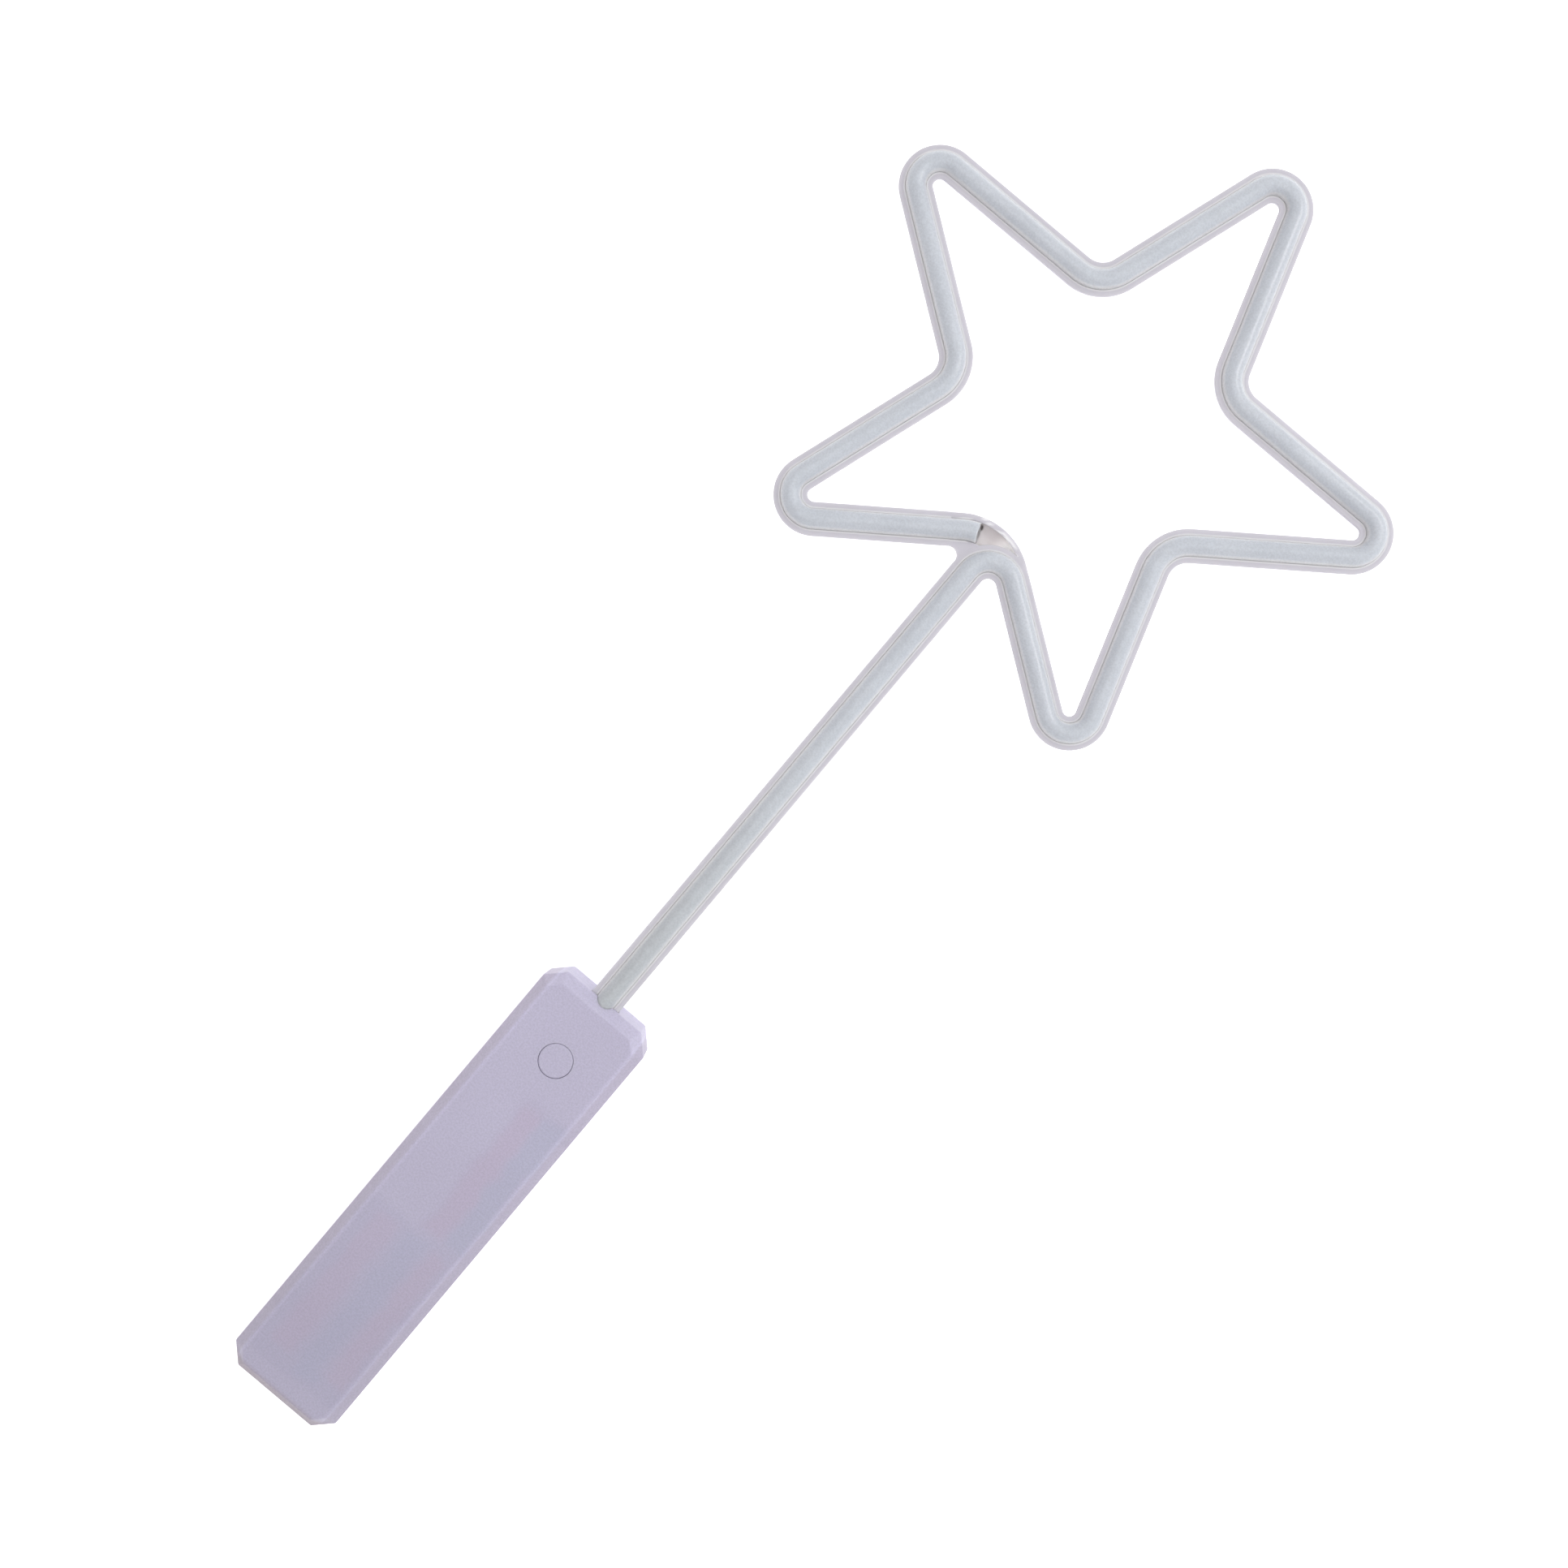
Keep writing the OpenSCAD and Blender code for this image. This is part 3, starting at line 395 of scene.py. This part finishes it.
silicone = {
    "light": colour(198, 203, 211), "deep": colour(194, 199, 207), "cloudScale": 70,
    # low: painted shade, the tube darker towards the handle, for the light's falloff
    "low": (-0.09, 0.05, 0.8, 0), "lowShade": colour(181, 185, 188),
    # flank: painted light on the tube's flanks at the groove, covering the crevice's shade
    "flank": (0.72, 0.97), "flankShare": 0.55, "flankLight": colour(236, 235, 235),
    "speck": (0.93, 1.06), "roughness": (330, 3, 0.3, 0.42), "grain": (0.05, 1400, 3),
    "scatter": 0.9, "scatterRadius": (0.95, 1.0, 1.0), "scatterDepth": 3 * mm,
    "coat": 0.5, "coatRoughness": 0.15,
}


def milkyTube():
    material, tree, shader = shaderTree("milkyTube")
    points = objectPoints(tree)
    y = axesOf(tree, points)[1]
    side = addNode(tree, "Attribute", {}, attribute_name="ringSide").outputs["Fac"]
    flank = rangeOf(tree, maths(tree, "ABSOLUTE", side), *silicone["flank"])
    cloud = cloudy(tree, points, silicone["cloudScale"])
    base = mixColour(tree, cloud, silicone["light"], silicone["deep"])
    # Painted shade: darker towards the handle end of the stem
    base = mixColour(tree, rangeOf(tree, y, *silicone["low"]), base, silicone["lowShade"])
    # Painted light on the tube's flanks, covering the crevice's shade
    base = mixColour(tree, product(tree, flank, silicone["flankShare"]), base, silicone["flankLight"])
    # The painted shadow of the gap by the tube's cut end
    base = mixColour(tree, inGapShade(tree), base, gapShade["tone"])
    setInputs(tree, shader, {
        "Base Color": speckled(tree, points, base, *silicone["speck"]),
        "Roughness": uneven(tree, points, *silicone["roughness"]),
        "Normal": grained(tree, points, *silicone["grain"]),
        "Subsurface Weight": silicone["scatter"], "Subsurface Radius": silicone["scatterRadius"],
        "Subsurface Scale": silicone["scatterDepth"],
        "Coat Weight": silicone["coat"], "Coat Roughness": silicone["coatRoughness"],
    })
    return material


plated = {
    "stretch": (1, 3, 1), "wear": (700, 4), "wearSpread": (0.3, 0.75), "darker": 0.75,
    "unevenness": (1800, 3), "smoother": 0.08, "rougher": 0.12,
    "scratchStretch": (8, 1, 1), "scratches": (0.06, 900, 2),
}


def metal(name, tone, roughness):
    material, tree, shader = shaderTree(name)
    points = objectPoints(tree, plated["stretch"])
    wear = rangeOf(tree, noise(tree, points, *plated["wear"]), *plated["wearSpread"])
    dark = tuple(value * plated["darker"] for value in tone[:3]) + (1,)
    low, high = roughness - plated["smoother"], roughness + plated["rougher"]
    setInputs(tree, shader, {
        "Base Color": mixColour(tree, wear, tone, dark), "Metallic": 1.0,
        "Roughness": uneven(tree, points, *plated["unevenness"], low, high),
        "Normal": grained(tree, objectPoints(tree, plated["scratchStretch"]), *plated["scratches"]),
    })
    return material


plain = {
    "mottle": (500, 3), "mottleSpread": (0.35, 0.75, 0, 0.6), "paler": 1.35, "lift": 0.01,
    "unevenness": (900, 2), "smoother": 0.07, "rougher": 0.1, "grain": 0.1, "grainDetail": 2,
}


def moulded(name, tone, roughness, grainScale):
    material, tree, shader = shaderTree(name)
    points = objectPoints(tree)
    pale = tuple(min(1.0, value * plain["paler"] + plain["lift"]) for value in tone[:3]) + (1,)
    mottle = rangeOf(tree, noise(tree, points, *plain["mottle"]), *plain["mottleSpread"])
    low, high = roughness - plain["smoother"], roughness + plain["rougher"]
    setInputs(tree, shader, {
        "Base Color": mixColour(tree, mottle, tone, pale),
        "Roughness": uneven(tree, points, *plain["unevenness"], low, high),
        "Normal": grained(tree, points, plain["grain"], grainScale, plain["grainDetail"]),
    })
    return material


# The cells' sleeve, measured from the nose: bare metal at both ends, and a coloured band
sleeve = {
    "bareNose": (0.0012, 0.0014), "bareFoot": (0.0437, 0.0439), "band": (0.0118, 0.0121),
    "wrap": colour(86, 108, 158), "bandTone": colour(196, 150, 168), "metal": colour(186, 186, 188),
    "shade": colour(60, 78, 122), "shadeScale": 120, "shadeShare": 0.35,
    "roughness": (600, 3, 0.24, 0.38), "grain": (0.05, 500, 2),
}


def cellSleeve(node, noseUp):
    low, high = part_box(node)
    material, tree, shader = shaderTree("sleeve_" + node)
    points = objectPoints(tree)
    y = axesOf(tree, points)[1]
    fromNose = maths(tree, "ABSOLUTE", maths(tree, "SUBTRACT", y, high.y if noseUp else low.y))
    bareNose = rangeOf(tree, fromNose, *sleeve["bareNose"], 1, 0)
    bare = maths(tree, "MAXIMUM", bareNose, rangeOf(tree, fromNose, *sleeve["bareFoot"]))
    band = rangeOf(tree, fromNose, *sleeve["band"], 1, 0)
    wrap = mixColour(tree, band, sleeve["wrap"], sleeve["bandTone"])
    shade = cloudy(tree, points, sleeve["shadeScale"], 0, sleeve["shadeShare"])
    wrap = mixColour(tree, shade, wrap, sleeve["shade"])
    setInputs(tree, shader, {
        "Base Color": mixColour(tree, bare, wrap, sleeve["metal"]), "Metallic": bare,
        "Roughness": uneven(tree, points, *sleeve["roughness"]),
        "Normal": grained(tree, points, *sleeve["grain"]),
    })
    return material


board = {
    "weave": {
        "Scale": 420.0, "Color1": colour(20, 92, 52), "Color2": colour(24, 104, 60),
        "Mortar": colour(15, 76, 44), "Mortar Size": 0.02,
    },
    "traces": {"Scale": 190.0, "Distortion": 2.5, "Detail": 1.0},
    "traceEdge": (0.86, 0.93), "traceShare": 0.6, "traceTone": colour(70, 148, 92),
    "relief": 0.08, "roughness": 0.35,
}


def circuitBoard():
    material, tree, shader = shaderTree("boardGreen")
    points = objectPoints(tree)
    weave = addNode(tree, "TexBrick", {"Vector": points, **board["weave"]}, offset=0.5).outputs[0]
    traces = addNode(tree, "TexWave", {"Vector": points, **board["traces"]}, wave_type="BANDS").outputs[1]
    line = product(tree, rangeOf(tree, traces, *board["traceEdge"]), board["traceShare"])
    setInputs(tree, shader, {
        "Base Color": mixColour(tree, line, weave, board["traceTone"]), "Roughness": board["roughness"],
        "Normal": bump(tree, traces, board["relief"]),
    })
    return material


lavender = lavenderPlastic()
channelLook = frostedChannel()
tubeLook = milkyTube()
steel = metal("zincSteel", colour(200, 200, 204), roughness=0.32)
nickel = metal("nickelPlate", colour(206, 203, 196), roughness=0.26)
print("materials made")


# Shells, door and button: the CAD shapes with their outer edges rounded

moulding = {
    "edge": 1.15 * mm, "edgeSegments": 6, "lip": 0.14 * mm, "lipSegments": 2, "smooth": 35,
    "weld": 2e-6, "flat": math.radians(0.3), "sharp": math.radians(20), "near": 2e-5,
    "level": 0.999, "upright": 0.01,
}
shells = {"front_shell": "wand", "back_shell": "wand", "battery_door": "door", "power_button": "button"}


def outerFaces(bm):
    places = [v.co.copy() for v in bm.verts]
    outer = set()
    for face in bm.faces:
        reach = max(face.normal.dot(place) for place in places)
        if reach - face.normal.dot(face.verts[0].co) < moulding["near"]:
            outer.add(face)
    return outer


# An edge between a level face and an upright wall
def isSquare(edge):
    slopes = [abs(face.normal.z) for face in edge.link_faces]
    return max(slopes) > moulding["level"] and all(
        slope > moulding["level"] or slope < moulding["upright"] for slope in slopes)


def roundedCopy(name):
    bm = bmesh.new()
    bm.from_mesh(nodes[name].data)
    bmesh.ops.remove_doubles(bm, verts=bm.verts, dist=moulding["weld"])
    bmesh.ops.dissolve_limit(bm, angle_limit=moulding["flat"], verts=bm.verts, edges=bm.edges)
    bm.normal_update()
    outer = outerFaces(bm)
    sharp, lips = [], []
    for edge in bm.edges:
        if len(edge.link_faces) != 2 or edge.calc_face_angle(0) < moulding["sharp"]:
            continue
        shared = sum(face in outer for face in edge.link_faces)
        if shared == 2 and not isSquare(edge):
            sharp.append(edge)
        elif shared == 2 or (shared == 1 and edge.is_convex):
            lips.append(edge)
    bevelled = {"affect": "EDGES", "clamp_overlap": True, **roundCorner}
    bmesh.ops.bevel(bm, geom=sharp, offset=moulding["edge"], segments=moulding["edgeSegments"], **bevelled)
    lips = [edge for edge in lips if edge.is_valid]
    bmesh.ops.bevel(bm, geom=lips, offset=moulding["lip"], segments=moulding["lipSegments"], **bevelled)
    print(name, "rounded:", len(sharp), "edges and", len(lips), "lips")
    return bm


# The cap is swelled a little in its hole, so that the gap shows as a hairline
cap = {"from": 18.3 * mm, "swell": 1.03}


def swellCap(bm):
    low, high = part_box("power_button")
    middle = (low + high) / 2
    top = [v for v in bm.verts if v.co.z > cap["from"]]
    swell = (cap["swell"], cap["swell"], 1)
    bmesh.ops.scale(bm, verts=top, vec=swell, space=Matrix.Translation(-middle))


for name, body in shells.items():
    bm = roundedCopy(name)
    if name == "power_button":
        swellCap(bm)
    piece = meshObject(name + "_moulding", bm)
    dress(piece, body, [name], lavender, moulding["smooth"])
    weighted = piece.modifiers.new("weighted", "WEIGHTED_NORMAL")
    weighted.keep_sharp = True


# Tube: a hollow round section carried along the path, cut square at the tail and slanted at its free end

tube = {
    "radius": 2.893, "bore": 1.6, "height": 15.3, "setback": 1.5, "sides": 40, "slant": 0.2, "smooth": 40,
}


def buildTube():
    bm = bmesh.new()
    # Where each point lies across the tube, read by the tube's painted flank light
    side = bm.verts.layers.float.new("ringSide")
    start = Vector((0, star["tailY"] + tube["setback"]))
    foot = Matrix.Translation((start.x * mm, start.y * mm, tube["height"] * mm))
    stand = foot @ Matrix.Rotation(math.pi / 2, 4, "X")
    for radius in (tube["radius"], tube["bore"]):
        circle = bmesh.ops.create_circle(bm, segments=tube["sides"], radius=radius * mm, matrix=stand)
        for vert in circle["verts"]:
            vert[side] = vert.co.x / (radius * mm)
    points = [start, joinPoint] + starRun + [endCorner, freeEnd]
    bends = [0, star["turnBend"]] + starBends + [star["joinBend"], 0]
    first = list(bm.edges)
    last = sweep(bm, first, points, bends)
    for vert in {v for edge in last for v in edge.verts}:
        lift = vert.co.z - tube["height"] * mm
        vert.co -= (endAhead * lift * tube["slant"]).to_3d()
    bmesh.ops.bridge_loops(bm, edges=first)
    bmesh.ops.bridge_loops(bm, edges=last)
    skin = meshObject("neon_tube_skin", bm)
    dress(skin, "wand", ["neon_tube"], tubeLook, tube["smooth"])


buildTube()
print("tube swept")


# Channel: a flanged trough carried along the same path, with its joining land and fillet, in millimetres

channel = {
    "flange": 4.65, "top": 15.6, "under": 14.4, "trough": 4.0, "groove": 2.9, "height": 15.3, "steps": 24,
    "edge": 0.3, "rim": 0.1, "bleed": 0.5, "edgeSegments": 4, "rimRoom": 0.02, "smooth": 35,
    "headHalf": 8.0, "headLength": 2.6, "headHeight": 3.6, "headEdge": 0.15, "headSegments": 2,
    "shrink": 0.05, "roomStart": -60, "roomTop": 8.0,
    "fillet": 2.6, "filletInset": 0.6, "filletSteps": 16, "filletLap": 0.3, "filletSkin": 0.02,
}
wallMiddle = (channel["groove"] + channel["trough"]) / 2
hair = 1e-6  # what counts as no distance


def arc(radius, start, swing):
    steps = channel["steps"]
    angles = [start + swing * step / steps for step in range(steps + 1)]
    return [(radius * math.cos(angle), channel["height"] + radius * math.sin(angle)) for angle in angles]


def channelProfile(bm, start, heading, shrink):
    flange, top, under = channel["flange"] - shrink, channel["top"] - shrink, channel["under"] + shrink
    trough, groove = channel["trough"] - shrink, channel["groove"] + shrink
    beside = groove + channel["rim"] + channel["bleed"]
    low = math.asin((under - channel["height"]) / trough)
    outline = [(-flange, top), (-beside, top), (-groove, top)] + arc(groove, math.pi, math.pi)
    outline += [(groove, top), (beside, top), (flange, top), (flange, under)]
    outline += arc(trough, low, -math.pi - 2 * low) + [(-flange, under)]
    across = Vector((math.sin(heading), -math.cos(heading)))
    verts = []
    for x, z in outline:
        spot = start + across * x
        verts.append(bm.verts.new((spot.x * mm, spot.y * mm, z * mm)))
    bm.faces.new(verts)
    corners = [v for v, (x, z) in zip(verts, outline) if abs(abs(x) - flange) < hair]
    rims = [v for v, (x, z) in zip(verts, outline) if abs(abs(x) - groove) < hair and z == top]
    bevelled = {"segments": channel["edgeSegments"], "affect": "VERTICES", **roundCorner}
    for picked, width in ((corners, channel["edge"]), (rims, channel["rim"])):
        bmesh.ops.bevel(bm, geom=picked, offset=width * mm, **bevelled)
    # The groove's rim is marked for the channel's painted rim light
    rim = bm.verts.layers.float.new("rim")
    face = bm.faces[:][-1]
    lowest = (top - channel["rim"] - channel["rimRoom"]) * mm
    widest = groove + channel["rim"] + channel["rimRoom"]
    for vert in face.verts:
        if vert.co.z > lowest and (vert.co.xy / mm - start).length < widest:
            vert[rim] = 1.0
    return openedFace(bm, face)


def openedFace(bm, face):
    edges = list(face.edges)
    bmesh.ops.delete(bm, geom=[face], context="FACES_ONLY")
    return edges


def sweptSolid(name, bm, first, points, bends):
    last = sweep(bm, first, points, bends)
    bmesh.ops.edgeloop_fill(bm, edges=first)
    bmesh.ops.edgeloop_fill(bm, edges=last)
    return meshObject(name, bm)


def channelSolid(name, points, bends, shrink):
    bm = bmesh.new()
    way = points[1] - points[0]
    first = channelProfile(bm, points[0], math.atan2(way.y, way.x), shrink)
    return sweptSolid(name, bm, first, points, bends)


# The space of the stem's groove and its turn to the right, which the joining land leaves free
def grooveRoom():
    bm = bmesh.new()
    start = Vector((0, channel["roomStart"]))
    ceiling = channel["height"] + channel["roomTop"]
    outline = [(wallMiddle, ceiling), (-wallMiddle, ceiling)] + arc(wallMiddle, math.pi, math.pi)
    verts = [bm.verts.new((x * mm, start.y * mm, z * mm)) for x, z in outline]
    first = openedFace(bm, bm.faces.new(verts))
    points, bends = [start, joinPoint, starCorner(1)], [0, star["turnBend"], 0]
    return sweptSolid("grooveRoom", bm, first, points, bends)


def belowLeftEdge(x, offset):
    return joinPoint.y + x / math.tan(notchHalf) - offset / math.sin(notchHalf)


# The flange's web between the stem's left side and the star's left edge, with its round corner
def filletTool():
    edge, radius, steps = channel["flange"], channel["fillet"], channel["filletSteps"]
    inset = channel["filletInset"] * (edge - channel["groove"])
    reach = edge + radius - channel["shrink"]
    centre = Vector((-reach, belowLeftEdge(-reach, reach)))
    across = Vector((-math.cos(notchHalf), math.sin(notchHalf)))
    far = Vector((inset - edge, belowLeftEdge(inset - edge, edge - inset)))
    turnMiddle = joinPoint + Vector((star["turnBend"], -turnTangent))
    turnReach = star["turnBend"] + edge - channel["filletLap"]
    swing = math.atan2(across.y, across.x)
    angles = [swing * step / steps for step in range(steps + 1)]
    outline = [centre + radius * Vector((math.cos(angle), math.sin(angle))) for angle in angles]
    outline += [
        centre + (radius + inset) * across, far,
        turnMiddle + turnReach * (far - turnMiddle).normalized(), Vector((inset - edge, centre.y)),
    ]
    bm = bmesh.new()
    low = (channel["under"] + channel["filletSkin"]) * mm
    rise = (channel["top"] - channel["under"] - 2 * channel["filletSkin"]) * mm
    face = bm.faces.new([bm.verts.new((spot.x * mm, spot.y * mm, low)) for spot in outline])
    grown = bmesh.ops.extrude_face_region(bm, geom=[face])["geom"]
    bmesh.ops.translate(bm, verts=vertsOf(grown), vec=(0, 0, rise))
    return meshObject("cornerFillet", bm)


def tailBlock(side):
    half, length, height = channel["headHalf"], channel["headLength"], channel["headHeight"]
    size = Vector((half - wallMiddle, length, height)) * mm
    across, along = side * (half + wallMiddle) / 2, star["tailY"] + length / 2
    middle = Vector((across, along, channel["top"] - height / 2)) * mm
    bm = bmesh.new()
    bmesh.ops.create_cube(bm, size=1, matrix=Matrix.Translation(middle) @ Matrix.Diagonal(size.to_4d()))
    bevelled = {"segments": channel["headSegments"], "affect": "EDGES", **roundCorner}
    bmesh.ops.bevel(bm, geom=bm.edges[:], offset=channel["headEdge"] * mm, **bevelled)
    return meshObject("tailBlock", bm)


def combine(target, tool, operation):
    change = target.modifiers.new("combine", "BOOLEAN")
    change.operation = operation
    change.solver = "EXACT"
    change.object = tool
    bpy.context.view_layer.update()
    solid = bpy.data.meshes.new_from_object(target.evaluated_get(bpy.context.evaluated_depsgraph_get()))
    target.modifiers.clear()
    target.data = solid
    bpy.data.objects.remove(tool)
    print(target.name, operation.lower(), "leaves", len(solid.polygons), "faces")


def buildCarrier():
    joinLeft, joinRight = joinPoint + leftEdge * turnTangent, joinPoint + rightEdge * turnTangent
    points = [Vector((0, star["tailY"])), joinPoint] + starRun + [joinLeft]
    bends = [0, star["turnBend"]] + starBends + [0]
    carrier = channelSolid("star_carrier_moulding", points, bends, 0)
    landPoints, landBends = [joinLeft, joinPoint, joinRight], [0, star["joinBend"], 0]
    land = channelSolid("joinLand", landPoints, landBends, channel["shrink"])
    combine(land, grooveRoom(), "DIFFERENCE")
    combine(carrier, land, "UNION")
    combine(carrier, filletTool(), "UNION")
    for side in (-1, 1):
        combine(carrier, tailBlock(side), "UNION")
    dress(carrier, "wand", ["star_carrier"], channelLook, channel["smooth"])


buildCarrier()
print("channel swept and joined")


# Looks of the CAD pieces that stay as they are

black = moulded("blackMoulded", colour(34, 34, 36), roughness=0.45, grainScale=1500)
looks = {
    "door_screw": steel, "case_screws": steel, "board_screws": steel,
    "switch_plunger": moulded("switchPlunger", colour(40, 38, 38), roughness=0.4, grainScale=1700),
    "tact_switch": black, "circuit_board": circuitBoard(), "driver_chip": black,
    "board_components": moulded("smallComponents", colour(66, 58, 52), roughness=0.4, grainScale=1300),
    "battery_lower_right": cellSleeve("battery_lower_right", noseUp=True),
    "battery_upper_right": cellSleeve("battery_upper_right", noseUp=True),
    "battery_lower_left": cellSleeve("battery_lower_left", noseUp=False),
    "positive_contact": nickel, "middle_contact": nickel, "bridge_contact": nickel,
    "negative_contact": nickel, "contact_springs": nickel,
    "positive_lead": moulded("redLead", colour(178, 34, 30), roughness=0.4, grainScale=1100),
    "negative_lead": moulded("blackLead", colour(30, 30, 32), roughness=0.4, grainScale=1100),
    "led_leads": moulded("whiteLead", colour(214, 212, 206), roughness=0.4, grainScale=1100),
    "led_strip": moulded("stripBoard", colour(216, 210, 188), roughness=0.5, grainScale=900),
    "led_chips": moulded("lampResin", colour(232, 212, 130), roughness=0.3, grainScale=1400),
}
for name, material in looks.items():
    paint(nodes[name], material)
print("inner pieces dressed:", len(looks))


# Floor, light and camera

ground = {"half": 3, "height": -0.0002, "tone": (0.86, 0.86, 0.87, 1), "roughness": 0.9, "glow": 0.55}
lights = {
    "key": {
        "place": (0.42, 0.78, 0.85), "aim": (0, 0, 0), "size": 0.5, "energy": 2.2, "tint": (1, 0.99, 0.97),
    },
    "fill": {
        "place": (0.1, 0.15, 1.3), "aim": (0, 0.05, 0), "size": 1.0, "energy": 2, "tint": (0.97, 0.98, 1),
    },
}
studio = {
    "towards": (0.65, 0.7, 0.2), "fade": (-0.8, 0.8),
    "dim": (0.72, 0.69, 0.68, 1), "bright": (1, 1, 1, 1), "strength": 0.93,
}
view = {"place": (-0.001, -0.0003, 0.44675), "roll": 40.1, "lens": 36.34, "sensor": 36, "near": 0.01}


def buildFloor():
    bm = bmesh.new()
    level = Matrix.Translation((0, 0, ground["height"]))
    bmesh.ops.create_grid(bm, x_segments=2, y_segments=2, size=ground["half"], matrix=level)
    floor = meshObject("floor", bm)
    material, tree, shader = shaderTree("paleFloor")
    setInputs(tree, shader, {
        "Base Color": ground["tone"], "Roughness": ground["roughness"],
        "Emission Color": (1, 1, 1, 1), "Emission Strength": ground["glow"],
    })
    floor.data.materials.append(material)


def placeLight(name, place, aim, size, energy, tint):
    lamp = bpy.data.lights.new(name, "AREA")
    lamp.shape = "DISK"
    lamp.size = size
    lamp.energy = energy
    lamp.color = tint
    made = bpy.data.objects.new(name, lamp)
    made.location = place
    made.rotation_euler = (Vector(aim) - Vector(place)).to_track_quat("-Z", "Y").to_euler()
    scene.collection.objects.link(made)


def buildWorld():
    world = bpy.data.worlds.new("studio")
    scene.world = world
    world.use_nodes = True
    tree = world.node_tree
    way = addNode(tree, "TexCoord", {}).outputs["Generated"]
    lean = addNode(tree, "VectorMath", {0: way, 1: studio["towards"]}, operation="DOT_PRODUCT")
    lean = lean.outputs["Value"]
    tone = mixColour(tree, rangeOf(tree, lean, *studio["fade"]), studio["dim"], studio["bright"])
    setInputs(tree, tree.nodes["Background"], {0: tone, 1: studio["strength"]})


def placeCamera():
    lens = bpy.data.cameras.new("camera")
    lens.lens = view["lens"]
    lens.sensor_width = view["sensor"]
    lens.clip_start = view["near"]
    camera = bpy.data.objects.new("camera", lens)
    camera.location = view["place"]
    camera.rotation_euler = (0, 0, math.radians(view["roll"]))
    scene.collection.objects.link(camera)
    scene.camera = camera


buildFloor()
for name, light in lights.items():
    placeLight(name, **light)
buildWorld()
scene.view_settings.view_transform = "Standard"
placeCamera()
print("scene lit")
